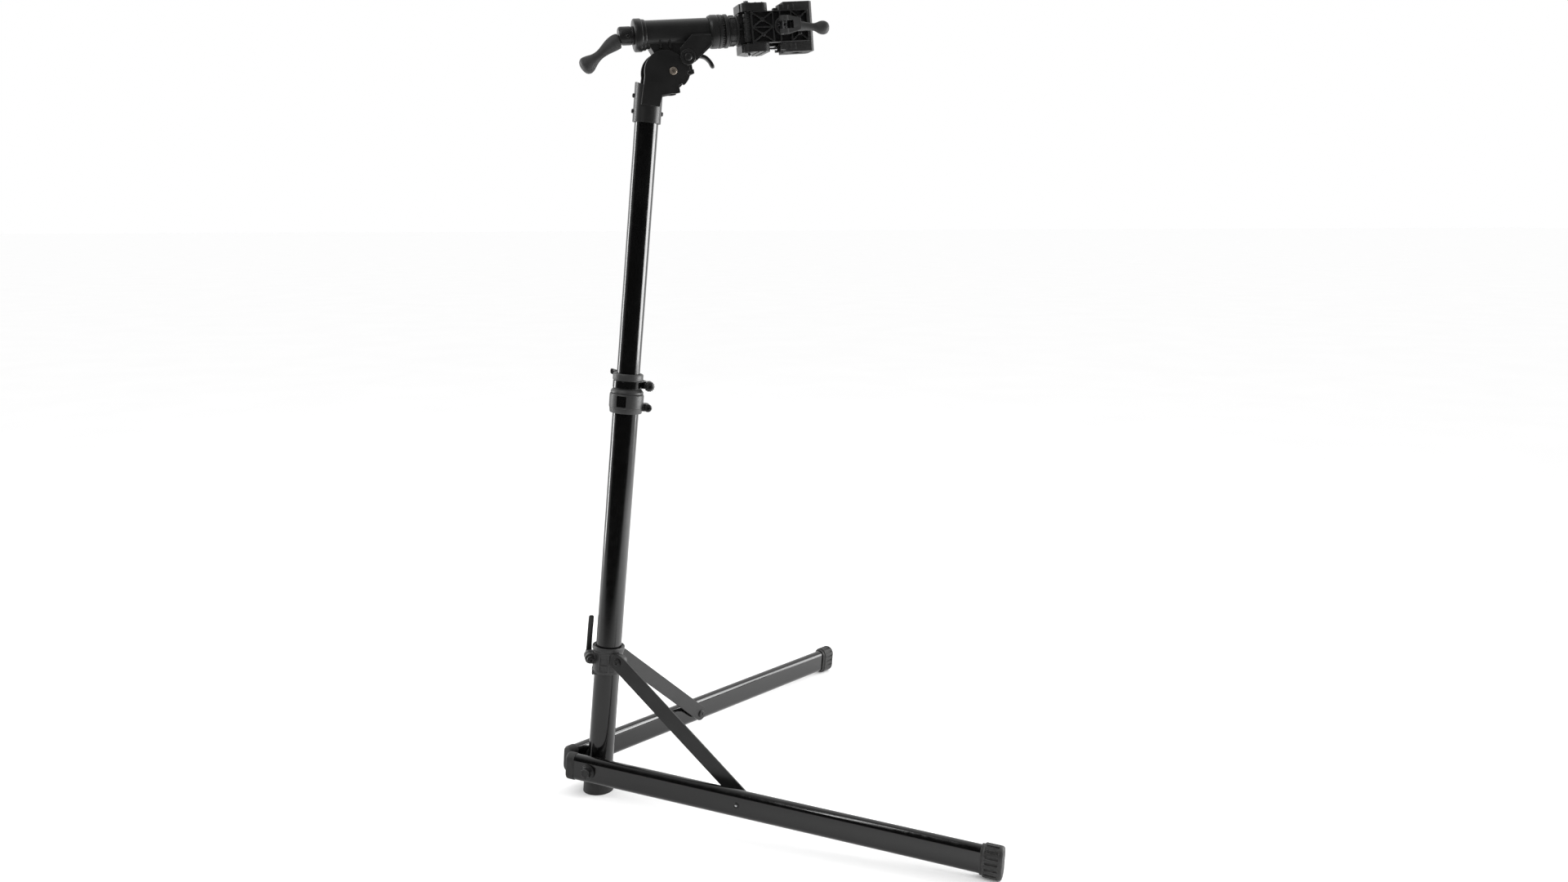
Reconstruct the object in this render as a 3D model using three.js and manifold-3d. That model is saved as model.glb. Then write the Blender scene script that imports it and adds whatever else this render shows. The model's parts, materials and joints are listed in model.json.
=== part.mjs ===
// Folding bike repair stand: a leaning telescopic mast on two folding legs, with a tilting head
// that carries a rotating clamp.
//
// Units are millimetres. +X points forward (the way the legs and the clamp reach), +Y to the left,
// +Z up. The origin is on the floor under the middle of the mast's foot.
//
// The mast leans forward, so most pieces are drawn in the mast frame: z runs along the mast from
// the floor, x forward and y left across it. Each leg has its own upright fold plane, and the head
// has a frame on its tilt bolt, with x along the head tube.

import * as THREE from 'three';
import { mergeVertices } from 'three/addons/utils/BufferGeometryUtils.js';
import Module from 'manifold-3d';

// ---------------------------------------------------------------- driving dimensions

const LEAN = THREE.MathUtils.degToRad(5.37);
const GAP = 0.3;
const ROUND = 24;
const SMALL_ROUND = 12;
const TINY_ROUND = 8;
const ARC_STEPS = 4;

const MAST = {
  lowerRadius: 22.5, lowerWall: 1.6, lowerBottom: 13.5, lowerTop: 725,
  upperRadius: 19.8, upperWall: 1.8, upperBottom: 600, upperTop: 1213,
};
const FOOT = { radius: 27, top: 29, floorAllowance: 6 };
const BRACKET = { radius: 27.5, bottom: 30, top: 48, earWidth: 30, earGap: 1.2 };
const LEG = {
  splay: THREE.MathUtils.degToRad(36.73), rise: THREE.MathUtils.degToRad(2.13),
  pivotForward: 6.5, pivotHeight: 53.9, offset: 43.5,
  height: 47, width: 21, wall: 1.5,
  back: -44, front: 722, boltRadius: 5, sleeveRadius: 8, rivetAt: 284.5, rivetRadius: 3,
};
const INNER_CAP = { skin: 1.2, back: -46.8, front: -30 };
const FOOT_CAP = {
  back: 700, step: 705, front: 735, height: 55.6, width: 31, collarHeight: 51, collarWidth: 25,
};
const BRACE = { inner: 21, outer: 24.5, width: 28, topForward: 25.5, topHeight: 197 };
const COLLAR = {
  bottom: 223, top: 271, bore: 21, radius: 27, flareRadius: 28.5, flareBottom: 264,
  boltBack: -32, boltHeight: 248.5, earLength: 14, earWidth: 19, earHalf: 11, slitHalf: 1.5,
  lugRoot: 8, lugFace: 20.7, lugRadius: 11,
};
const RELEASE = {
  rodRadius: 2.6, barrelRadius: 4, barrelHalf: 6, camRadius: 6.4, slotHalf: 3.2, socket: 5,
};
const CLAMP = {
  collarBottom: 687, collarTop: 720.5, collarRadius: 29.4, collarBore: 21, earForward: 36, earHeight: 698,
  sleeveBottom: 721, neckBottom: 729, neckTop: 743, sleeveTop: 755,
  neckRadius: 23.3, rimRadius: 26, flareRadius: 28,
  bandHeight: 736, bandRadius: 25.4, bandForward: 35, bandHalf: 6.2, slitHalf: 1.5,
};
const YOKE = {
  bottom: 1173, rearTop: 1237, frontTop: 1218, radius: 23.5, plateInner: 17, plateOuter: 23,
  discForward: 22.5, discHeight: 1256, discRadius: 35,
  screws: [['rear_upper', 180, 1215], ['rear_lower', 180, 1190], ['front', 0, 1190]],
};
const SLEEVE_SCREW = { radius: 2.2, headRadius: 3.6 };
const TILT = {
  forward: 34.5, height: 1259.1, boltRadius: 4, headRadius: 6.4, boltEnd: 28, ratchetRadius: 28.4,
  notchRadius: 24.5,
};
const TILT_BUSH = { radius: 6.2, half: 16 };
const HEAD = {
  rise: THREE.MathUtils.degToRad(4.4), axis: 61, radius: 22.9, wall: 5.7, back: -45, front: 75,
  shaftRadius: 9.5, drawRadius: 4,
};
const LATCH = {
  x: 25.5, z: 20.3, pinRadius: 3.5, bossRadius: 13, cheekInner: 23.8, cheekOuter: 27.8, bossFace: 30.2,
};
const LATCH_SPRING = { turns: 3, pitch: 1.5, coilRadius: 5.6, wireRadius: 0.5, start: 10.6 };
const TURN = {
  capBack: -57, capRadius: 26.5, capFlangeFront: -43, capFront: -37.5, ringBack: 72, ringFront: 91.5,
  radius: 27.2, plateBack: 93.5, plateFront: 100, neckRadius: 24, neckFront: 117, shaftBack: -46,
};
const CRANK = {
  hubBack: -82, hubRadius: 15, drawEnd: -72, elbowX: -76, elbowZ: -4, shoulder: 5.2,
  drop: THREE.MathUtils.degToRad(180 - 32.6), screwX: -68, screwZ: -2, screwRadius: 3,
};
const JAW = {
  hingeX: 129.5, hingeY: -27, knuckleRadius: 7, knuckleHalf: 23.5, earRadius: 11.5, pinRadius: 3,
  front: 231, half: 25, inner: 25, skin: 30, outer: 38, rodX: 187, rodRadius: 4,
  lobeInner: 26.2, lobeOuter: 40, lobeFront: 165, slantX: 136, slantY: 14,
};
const TIE_ROD = { back: 151, front: 185.5, radius: 2.5, y: 6, z: -31 };
const JAW_LEVER = {
  barrelRadius: 4.6, camRadius: 8.8, halfWidth: 14.5, standOff: 12.5, windowHalf: 6.2,
  droop: THREE.MathUtils.degToRad(6.3),
};
const PAD = {
  back: 193, front: 243, half: 40, face: 2, seat: 24.6, grooveDepth: 9, grooveHalf: 13, grooveAt: 216,
  stepBack: 186, stepLow: 26, stepHigh: 36,
};

// ---------------------------------------------------------------- materials

function finish(color, roughness, metalness) {
  return new THREE.MeshStandardMaterial({ color, roughness, metalness });
}
const FINISH = {
  glossBlack: () => finish(0x0b0b0d, 0.18, 0.3),
  satinBlack: () => finish(0x202022, 0.42, 0.3),
  plastic: () => finish(0x2b2b2d, 0.55, 0),
  darkPlastic: () => finish(0x151516, 0.45, 0),
  rubber: () => finish(0x2a2b2c, 0.85, 0),
  grip: () => finish(0x2e2f30, 0.7, 0),
  steel: () => finish(0xb9bbbe, 0.3, 1),
  blackSteel: () => finish(0x18181a, 0.4, 0.8),
  bronze: () => finish(0x8c7a5e, 0.4, 1),
};

// ---------------------------------------------------------------- solid helpers

const wasm = await Module();
wasm.setup();

// Merges a closed geometry's shared corners and turns its faces outward.
function closed(geometry) {
  const bare = geometry.clone();
  bare.deleteAttribute('normal');
  bare.deleteAttribute('uv');
  const merged = mergeVertices(bare, 1e-4);
  const index = merged.index.array;
  const p = merged.attributes.position;
  const a = new THREE.Vector3();
  const b = new THREE.Vector3();
  const c = new THREE.Vector3();
  const faces = [];
  let volume = 0;
  for (let i = 0; i < index.length; i += 3) {
    const [ia, ib, ic] = [index[i], index[i + 1], index[i + 2]];
    if (ia === ib || ib === ic || ic === ia) continue;
    a.fromBufferAttribute(p, ia);
    b.fromBufferAttribute(p, ib);
    c.fromBufferAttribute(p, ic);
    volume += a.dot(b.cross(c));
    faces.push([ia, ib, ic]);
  }
  const outward = volume < 0 ? faces.map(([i, j, k]) => [i, k, j]) : faces;
  merged.setIndex(outward.flat());
  return merged;
}

function toManifold(geometry) {
  const shape = closed(geometry);
  return new wasm.Manifold(new wasm.Mesh({
    numProp: 3,
    vertProperties: new Float32Array(shape.attributes.position.array),
    triVerts: new Uint32Array(shape.index.array),
  }));
}

// Joins the first geometries and cuts the others away.
function carve(joined, cut = []) {
  let body = toManifold(joined[0]);
  for (const extra of joined.slice(1)) body = body.add(toManifold(extra));
  for (const hole of cut) body = body.subtract(toManifold(hole));
  const mesh = body.getMesh();
  const geometry = new THREE.BufferGeometry();
  geometry.setAttribute('position', new THREE.BufferAttribute(mesh.vertProperties, 3));
  geometry.setIndex(new THREE.BufferAttribute(mesh.triVerts, 1));
  return geometry;
}

// A turned piece round z from [radius, z] points.
function turned(points, segments = ROUND) {
  const profile = points.map(([r, z]) => new THREE.Vector2(r, z));
  return closed(new THREE.LatheGeometry(profile, segments).rotateX(Math.PI / 2));
}

function ring(outer, inner, z0, z1, segments = ROUND) {
  return turned([[inner, z0], [outer, z0], [outer, z1], [inner, z1], [inner, z0]], segments);
}

function rod(radius, z0, z1, segments = SMALL_ROUND) {
  return turned([[0, z0], [radius, z0], [radius, z1], [0, z1]], segments);
}

// Turns a piece drawn along z so that it runs along x or y.
const alongX = (geometry) => geometry.rotateY(Math.PI / 2);
const alongY = (geometry) => geometry.rotateX(-Math.PI / 2);

function box(x0, x1, y0, y1, z0, z1) {
  return new THREE.BoxGeometry(Math.abs(x1 - x0), Math.abs(y1 - y0), Math.abs(z1 - z0))
    .translate((x0 + x1) / 2, (y0 + y1) / 2, (z0 + z1) / 2);
}

// A plate whose outline is drawn in x and z and which lies between two values of y.
function plate(shape, y0, y1, curveSegments = ARC_STEPS) {
  const depth = Math.abs(y1 - y0);
  return new THREE.ExtrudeGeometry(shape, { depth, bevelEnabled: false, curveSegments })
    .rotateX(Math.PI / 2).translate(0, Math.max(y0, y1), 0);
}

function outline(points) {
  return new THREE.Shape(points.map(([x, z]) => new THREE.Vector2(x, z)));
}

function disc(x, z, radius) {
  const shape = new THREE.Shape();
  shape.absarc(x, z, radius, 0, Math.PI * 2);
  return shape;
}

// A flat bar with round ends from one point to another.
function barShape(x0, z0, x1, z1, width) {
  const angle = Math.atan2(z1 - z0, x1 - x0);
  const shape = new THREE.Shape();
  shape.absarc(x1, z1, width / 2, angle - Math.PI / 2, angle + Math.PI / 2);
  shape.absarc(x0, z0, width / 2, angle + Math.PI / 2, angle + Math.PI * 1.5);
  return shape;
}

// A flat-sided oval standing on its end, drawn across a leg.
function ovalShape(height, width) {
  const r = width / 2;
  const shape = new THREE.Shape();
  shape.absarc(0, height / 2 - r, r, 0, Math.PI);
  shape.absarc(0, r - height / 2, r, Math.PI, Math.PI * 2);
  return shape;
}

// A flat-sided oval bar along x, centred on y = offset.
function ovalBar(height, width, x0, x1, offset) {
  return new THREE.ExtrudeGeometry(ovalShape(height, width),
    { depth: x1 - x0, bevelEnabled: false, curveSegments: ARC_STEPS })
    .rotateX(Math.PI / 2).rotateZ(Math.PI / 2).translate(x0, offset, 0);
}

function part(name, geometry, material) {
  const mesh = new THREE.Mesh(geometry, material);
  mesh.name = name;
  return mesh;
}

function frameAt(x, y, z) {
  const group = new THREE.Group();
  group.position.set(x, y, z);
  return group;
}

// A hexagonal prism along z with the given width across flats.
function hexPrism(acrossFlats, z0, z1) {
  return rod(acrossFlats / Math.sqrt(3), z0, z1, 6);
}

// ---------------------------------------------------------------- mast

function columnFoot() {
  const tubeHole = MAST.lowerRadius + GAP;
  const cup = turned([
    [0, -FOOT.floorAllowance], [FOOT.radius, -FOOT.floorAllowance], [FOOT.radius, FOOT.top - 3],
    [FOOT.radius - 1.5, FOOT.top], [tubeHole, FOOT.top], [tubeHole, MAST.lowerBottom - GAP],
    [0, MAST.lowerBottom - GAP],
  ]);
  const floor = box(-60, 60, -60, 60, -40, 0).rotateY(-LEAN);
  return part('column_foot', carve([cup], [floor]), FINISH.rubber());
}

function lowerTube() {
  const inner = MAST.lowerRadius - MAST.lowerWall;
  const tube = ring(MAST.lowerRadius, inner, MAST.lowerBottom, MAST.lowerTop);
  return part('lower_tube', tube, FINISH.glossBlack());
}

// Moves a geometry from a leg's fold plane into the mast frame.
function fromFoldPlane(geometry, side) {
  return geometry.translate(LEG.pivotForward, 0, 0).rotateZ(side * LEG.splay);
}

// The sleeve at the foot of the mast with a flat ear for each leg.
function baseBracket() {
  const { radius, bottom, top, earWidth, earGap } = BRACKET;
  const earFace = LEG.offset - LEG.width / 2 - earGap;
  const boltHole = LEG.boltRadius + GAP;
  const bodies = [ring(radius, MAST.lowerRadius - 1, bottom, top)];
  const holes = [];
  for (const side of [-1, 1]) {
    const ear = barShape(0, LEG.pivotHeight - 1, 0, LEG.pivotHeight + 1, earWidth);
    bodies.push(fromFoldPlane(plate(ear, side * radius / 2, side * earFace), side));
    const hole = alongY(rod(boltHole, -10, 10)).translate(0, side * earFace, LEG.pivotHeight);
    holes.push(fromFoldPlane(hole, side));
  }
  holes.push(rod(MAST.lowerRadius + GAP, bottom - 10, LEG.pivotHeight + earWidth, ROUND));
  return part('base_bracket', carve(bodies, holes), FINISH.blackSteel());
}

// The leg bolt: a hexagon head and round flange, and a shank into the base bracket.
function legBolt(name, side) {
  const face = LEG.offset + LEG.width / 2 + GAP;
  const shank = rod(LEG.boltRadius, MAST.lowerRadius + 2.1, face + 1);
  const flange = turned([[0, face], [13, face], [13, face + 2.5], [10, face + 4.5], [0, face + 4.5]],
    SMALL_ROUND);
  const head = hexPrism(17, face + 4, face + 12.5);
  const bolt = carve([shank, flange, head]).rotateX(side > 0 ? 0 : Math.PI);
  return part(name, alongY(bolt), FINISH.blackSteel());
}

// ---------------------------------------------------------------- legs and braces

// One leg, drawn along x from its pivot; side is +1 for the left leg and -1 for the right.
function leg(prefix, side) {
  const { height, width, wall, back, front } = LEG;
  const y = side * LEG.offset;
  const crossHole = (radius, x) => alongY(rod(radius + GAP, -20, 20)).translate(x, y, 0);
  const tube = carve([ovalBar(height, width, back, front, y)], [
    ovalBar(height - 2 * wall, width - 2 * wall, back - 5, front + 5, y),
    crossHole(LEG.boltRadius, 0), crossHole(LEG.rivetRadius, LEG.rivetAt),
  ]);
  const socket = (x0, x1) => ovalBar(height + 2 * GAP, width + 2 * GAP, x0, x1, y);
  const skin = 2 * INNER_CAP.skin;
  const innerCap = carve([ovalBar(height + skin, width + skin, INNER_CAP.back, INNER_CAP.front, y)],
    [socket(back - GAP, INNER_CAP.front + 5)]);
  const footCap = carve([
    ovalBar(FOOT_CAP.collarHeight, FOOT_CAP.collarWidth, FOOT_CAP.back, FOOT_CAP.step + 5, y),
    ovalBar(FOOT_CAP.height, FOOT_CAP.width, FOOT_CAP.step, FOOT_CAP.front, y),
  ], [socket(FOOT_CAP.back - 5, front + GAP)]);
  const sleeveHalf = width / 2 - wall - GAP;
  const sleeve = ring(LEG.sleeveRadius, LEG.boltRadius + GAP, -sleeveHalf, sleeveHalf, SMALL_ROUND);
  const group = new THREE.Group();
  group.add(
    part(`${prefix}_leg_tube`, tube, FINISH.glossBlack()),
    part(`${prefix}_leg_inner_cap`, innerCap, FINISH.rubber()),
    part(`${prefix}_leg_foot_cap`, footCap, FINISH.rubber()),
    part(`${prefix}_leg_pivot_sleeve`, alongY(sleeve).translate(0, y, 0), FINISH.steel()),
    braceRivet(`${prefix}_brace_rivet`, side),
  );
  group.rotation.y = -LEG.rise;
  return group;
}

// The shouldered rivet that goes through a leg and carries the lower end of its brace.
function braceRivet(name, side) {
  const legInner = LEG.offset - LEG.width / 2 - GAP;
  const legOuter = LEG.offset + LEG.width / 2 + GAP;
  const r = LEG.rivetRadius;
  const stem = turned([
    [0, BRACE.inner - 2.6], [6, BRACE.inner - 2.6], [7, BRACE.inner - GAP], [r, BRACE.inner - GAP],
    [r, BRACE.outer + GAP], [6.5, BRACE.outer + GAP], [6.5, legInner], [r, legInner],
    [r, legOuter], [4.8, legOuter], [4.2, legOuter + 1], [0, legOuter + 1],
  ], SMALL_ROUND);
  const rivet = alongY(stem.rotateX(side > 0 ? 0 : Math.PI)).translate(LEG.rivetAt, 0, 0);
  return part(name, rivet, FINISH.blackSteel());
}

// A brace in its leg's fold plane, with the rivet head of its upper pivot.
function brace(prefix, side) {
  const group = new THREE.Group();
  const footX = LEG.rivetAt * Math.cos(LEG.rise);
  const footZ = LEG.rivetAt * Math.sin(LEG.rise);
  const bar = barShape(BRACE.topForward, BRACE.topHeight, footX, footZ, BRACE.width);
  const across = (x, z) => alongY(rod(LEG.rivetRadius + GAP, -20, 20, TINY_ROUND))
    .translate(x, side * BRACE.inner, z);
  const strap = carve([plate(bar, side * BRACE.inner, side * BRACE.outer)],
    [across(footX, footZ), across(BRACE.topForward, BRACE.topHeight)]);
  const head = turned([
    [0, BRACE.inner + 0.2], [LEG.rivetRadius, BRACE.inner + 0.2], [LEG.rivetRadius, BRACE.outer + GAP],
    [7, BRACE.outer + GAP], [6, BRACE.outer + 2.6], [0, BRACE.outer + 2.6],
  ], SMALL_ROUND);
  const topRivet = alongY(head.rotateX(side > 0 ? 0 : Math.PI))
    .translate(BRACE.topForward, 0, BRACE.topHeight);
  group.add(
    part(`${prefix}_brace`, strap, FINISH.satinBlack()),
    part(`${prefix}_brace_top_rivet`, topRivet, FINISH.blackSteel()),
  );
  return group;
}

function foldPlane(prefix, side) {
  const plane = new THREE.Group();
  plane.rotation.z = side * LEG.splay;
  const pivot = frameAt(LEG.pivotForward, 0, LEG.pivotHeight);
  pivot.add(leg(prefix, side), brace(prefix, side), legBolt(`${prefix}_leg_bolt`, side));
  plane.add(pivot);
  return plane;
}

// ---------------------------------------------------------------- quick-release levers

// A quick-release skewer along x, from its nut to the cam barrel that lies across it along y.
function quickReleaseSkewer(nutEnd, camX) {
  const { rodRadius, barrelRadius, barrelHalf } = RELEASE;
  const shank = alongX(rod(rodRadius, nutEnd, camX, TINY_ROUND));
  const barrel = alongY(rod(barrelRadius, -barrelHalf, barrelHalf)).translate(camX, 0, 0);
  return carve([shank, barrel]);
}

// The strip of a curved handle of tapering thickness, as an outline in x and z.
function handleShape(centres, startWidth, endWidth) {
  const curve = new THREE.CatmullRomCurve3(centres.map(([x, z]) => new THREE.Vector3(x, 0, z)));
  const steps = 10;
  const left = [];
  const right = [];
  for (let i = 0; i <= steps; i += 1) {
    const p = curve.getPoint(i / steps);
    const t = curve.getTangent(i / steps);
    const half = THREE.MathUtils.lerp(startWidth, endWidth, i / steps) / 2;
    left.push([p.x - t.z * half, p.z + t.x * half]);
    right.unshift([p.x + t.z * half, p.z - t.x * half]);
  }
  return outline([...left, ...right]);
}

// A fork-ended lever: cam cheeks round the barrel, a slot for the skewer and a handle.
function camLever(camX, halfWidth, handle) {
  const { camRadius, barrelRadius, slotHalf } = RELEASE;
  const margin = 3;
  const cam = alongY(rod(camRadius, -halfWidth, halfWidth)).translate(camX, 0, 0);
  const hole = alongY(rod(barrelRadius + GAP, -halfWidth - 2, halfWidth + 2)).translate(camX, 0, 0);
  const slot = box(camX - camRadius - margin, camX + camRadius + margin, -slotHalf, slotHalf,
    -camRadius - margin, camRadius + 0.5);
  return carve([cam, handle], [hole, slot]);
}

// The bore of a skewer's nut and the hexagon socket in the nut's end, along x.
function nutBores(end, socketFloor) {
  return [alongX(rod(RELEASE.rodRadius + GAP, end - 0.5, 0, TINY_ROUND)),
    alongX(hexPrism(RELEASE.socket, socketFloor - 5, socketFloor))];
}

// ---------------------------------------------------------------- sliding collar

function slidingCollar() {
  const group = new THREE.Group();
  const { bottom, top, bore, radius, flareRadius, flareBottom, boltBack, boltHeight, earLength } = COLLAR;
  const { earWidth, earHalf, slitHalf, lugRoot, lugFace, lugRadius } = COLLAR;
  const bodies = [
    turned([[bore, bottom], [radius - 1, bottom], [radius, bottom + 1.5], [radius, flareBottom],
      [flareRadius, flareBottom + 2], [flareRadius, top - 1], [flareRadius - 1, top], [bore, top],
      [bore, bottom]]),
    plate(barShape(boltBack, boltHeight, boltBack + earLength, boltHeight, earWidth), -earHalf, earHalf),
  ];
  const holes = [
    box(-50, -10, -slitHalf, slitHalf, bottom - 5, top + 5),
    alongY(rod(RELEASE.rodRadius + GAP, -20, 20, TINY_ROUND)).translate(boltBack, 0, boltHeight),
    rod(MAST.lowerRadius + GAP, bottom - 5, top + 5, ROUND),
  ];
  const pivotHeight = LEG.pivotHeight + BRACE.topHeight;
  for (const side of [-1, 1]) {
    const lug = barShape(0, pivotHeight, BRACE.topForward, pivotHeight, 2 * lugRadius);
    bodies.push(fromFoldPlane(plate(lug, side * lugRoot, side * lugFace), side));
  }
  group.add(part('slide_collar', carve(bodies, holes), FINISH.plastic()), collarRelease());
  return group;
}

// The collar's quick release: the nut on the right and the lever standing up on the left.
function collarRelease() {
  const release = frameAt(COLLAR.boltBack, 0, COLLAR.boltHeight);
  release.rotation.z = Math.PI / 2;
  const camX = 18;
  const nutEnd = -15;
  const nut = carve([alongX(turned([[0, -20], [5, -20], [6.8, -18], [6.8, -12.6], [4.5, -11.4],
    [0, -11.4]], SMALL_ROUND))], nutBores(nutEnd, -17.5));
  const strip = handleShape([[17, 0], [20, 12], [20.5, 34], [17, 56], [15.5, 71]], 5, 4);
  release.add(
    part('collar_skewer', quickReleaseSkewer(nutEnd, camX), FINISH.steel()),
    part('collar_nut', nut, FINISH.blackSteel()),
    part('collar_lever', camLever(camX, 5.5, plate(strip, -4.5, 4.5)), FINISH.darkPlastic()),
  );
  return release;
}

// ---------------------------------------------------------------- height clamp

// The collar that grips the top of the lower tube, with the screw through its split ear.
function tubeCollar() {
  const { collarBottom, collarTop, collarRadius, collarBore, earForward, earHeight } = CLAMP;
  const earHalf = 9;
  const screwRadius = 2.5;
  const across = (geometry) => alongY(geometry).translate(earForward, 0, earHeight);
  const collar = carve([
    turned([[collarBore, collarBottom], [collarRadius - 2, collarBottom],
      [collarRadius - 1, collarBottom + 8], [collarRadius, collarTop - 2], [collarRadius - 1, collarTop],
      [collarBore, collarTop], [collarBore, collarBottom]]),
    plate(barShape(20, earHeight, earForward, earHeight, 13), -earHalf, earHalf),
  ], [
    box(10, 60, -1, 1, collarBottom - 5, collarTop + 5),
    across(rod(screwRadius + GAP, -20, 20, TINY_ROUND)),
    rod(MAST.lowerRadius + GAP, collarBottom - 5, collarTop + 5, ROUND),
  ]);
  const under = earHalf + GAP;
  const screw = carve([
    turned([[0, -10], [screwRadius, -10], [screwRadius, under], [6.8, under], [6.8, under + 3.7],
      [5.2, under + 6.7], [0, under + 6.7]], SMALL_ROUND),
  ], [hexPrism(5, under + 3.7, under + 9)]);
  return [
    part('tube_collar', collar, FINISH.plastic()),
    part('tube_collar_screw', across(screw.rotateX(Math.PI)), FINISH.blackSteel()),
  ];
}

// The split sleeve over the tube joint and the band that squeezes its neck.
function clampSleeve() {
  const lowerBore = MAST.lowerRadius + GAP;
  const upperBore = MAST.upperRadius + GAP;
  const { sleeveBottom, neckBottom, neckTop, sleeveTop, neckRadius, rimRadius, flareRadius } = CLAMP;
  const { bandHeight, bandRadius, bandForward, bandHalf, slitHalf } = CLAMP;
  const shoulder = MAST.lowerTop + GAP;
  const sleeve = carve([turned([
    [lowerBore, sleeveBottom], [flareRadius, sleeveBottom], [flareRadius, sleeveBottom + 3],
    [neckRadius + 1, neckBottom], [neckRadius, neckBottom], [neckRadius, neckTop],
    [rimRadius, neckTop], [rimRadius, sleeveTop - 2], [rimRadius - 1.5, sleeveTop],
    [upperBore, sleeveTop], [upperBore, shoulder], [lowerBore, shoulder], [lowerBore, sleeveBottom],
  ])], [box(10, 60, -1, 1, sleeveBottom - 5, sleeveTop + 5)]);
  const bore = neckRadius + GAP;
  const band = carve([
    ring(bandRadius, bore, bandHeight - bandHalf, bandHeight + bandHalf),
    box(bore - 0.6, 42, -4.5, 4.5, bandHeight - bandHalf, bandHeight + bandHalf),
  ], [
    box(10, 60, -slitHalf, slitHalf, bandHeight - 10, bandHeight + 10),
    rod(bore, bandHeight - 10, bandHeight + 10, ROUND),
    alongY(rod(RELEASE.rodRadius + GAP, -20, 20, TINY_ROUND)).translate(bandForward, 0, bandHeight),
  ]);
  return [
    part('clamp_sleeve', sleeve, FINISH.plastic()),
    part('clamp_band', band, FINISH.glossBlack()),
  ];
}

// The band's quick release. Its x is the mast's y, its z points backward and its barrel stands
// along the mast; the closed lever curves round the left of the mast and climbs a little.
function bandRelease() {
  const { bandForward, bandHeight } = CLAMP;
  const release = frameAt(bandForward, 0, bandHeight);
  release.setRotationFromMatrix(new THREE.Matrix4().makeBasis(
    new THREE.Vector3(0, 1, 0), new THREE.Vector3(0, 0, -1), new THREE.Vector3(-1, 0, 0)));
  const camX = 12;
  const nutEnd = -13;
  const nut = carve([alongX(turned([[0, -22], [5, -22], [9, -18.5], [9, -14], [5.5, -12], [5.5, -5],
    [0, -5]], SMALL_ROUND))], nutBores(nutEnd, -19));
  const sweepRadius = 33.5;
  const flare = 5;
  const rise = 0.29;
  const bend = [24, 45, 68, 92, 116, 134].map((degrees) => {
    const angle = THREE.MathUtils.degToRad(degrees);
    const reach = sweepRadius + flare * Math.max(0, (degrees - 68) / 66);
    return [reach * Math.sin(angle), bandForward - reach * Math.cos(angle)];
  });
  const climb = new THREE.Matrix4().makeShear(0, 0, 0, 0, 0, -rise);
  const strip = plate(handleShape(bend, 5, 4.5), -5.5, 5.5).applyMatrix4(climb);
  release.add(
    part('band_skewer', quickReleaseSkewer(nutEnd, camX), FINISH.steel()),
    part('band_nut', nut, FINISH.darkPlastic()),
    part('band_lever', camLever(camX, 6, strip), FINISH.darkPlastic()),
  );
  return release;
}

// ---------------------------------------------------------------- upper tube and yoke

function upperMast() {
  const { upperRadius, upperBottom, upperTop } = MAST;
  const inner = upperRadius - MAST.upperWall;
  const bushRadius = MAST.lowerRadius - MAST.lowerWall - GAP;
  const lip = 4;
  const bushTop = upperBottom + 24;
  const bush = turned([
    [inner - 2, upperBottom - lip], [bushRadius, upperBottom - lip], [bushRadius, bushTop],
    [upperRadius + GAP, bushTop], [upperRadius + GAP, upperBottom - GAP],
    [inner - 2, upperBottom - GAP], [inner - 2, upperBottom - lip],
  ]);
  return [
    part('upper_tube', ring(upperRadius, inner, upperBottom, upperTop), FINISH.glossBlack()),
    part('upper_tube_bush', bush, FINISH.plastic()),
  ];
}

// The outline of a yoke plate: a disc whose front rim is a ratchet centred on the tilt bolt.
function yokePlateShape() {
  const { discForward, discHeight, discRadius, frontTop } = YOKE;
  const { ratchetRadius, notchRadius } = TILT;
  const polar = (radius, degrees) => {
    const angle = THREE.MathUtils.degToRad(degrees);
    return [TILT.forward + radius * Math.cos(angle), TILT.height + radius * Math.sin(angle)];
  };
  const onDisc = (degrees) => {
    const angle = THREE.MathUtils.degToRad(degrees);
    return [discForward + discRadius * Math.cos(angle), discHeight + discRadius * Math.sin(angle)];
  };
  const onRim = (angles) => angles.map((degrees) => polar(ratchetRadius, degrees));
  const foot = frontTop - 18;
  const points = [[-14, foot], [17, foot], [20, frontTop], polar(36, -88), polar(36, -66),
    polar(notchRadius, -62), polar(notchRadius, -48), ...onRim([-46, -38, -30, -22, -14, -7]),
    polar(notchRadius, -5), polar(notchRadius, 5), ...onRim([7, 18, 30, 42, 54])];
  for (let degrees = 75; degrees <= 195; degrees += 12) points.push(onDisc(degrees));
  return outline(points);
}

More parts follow.
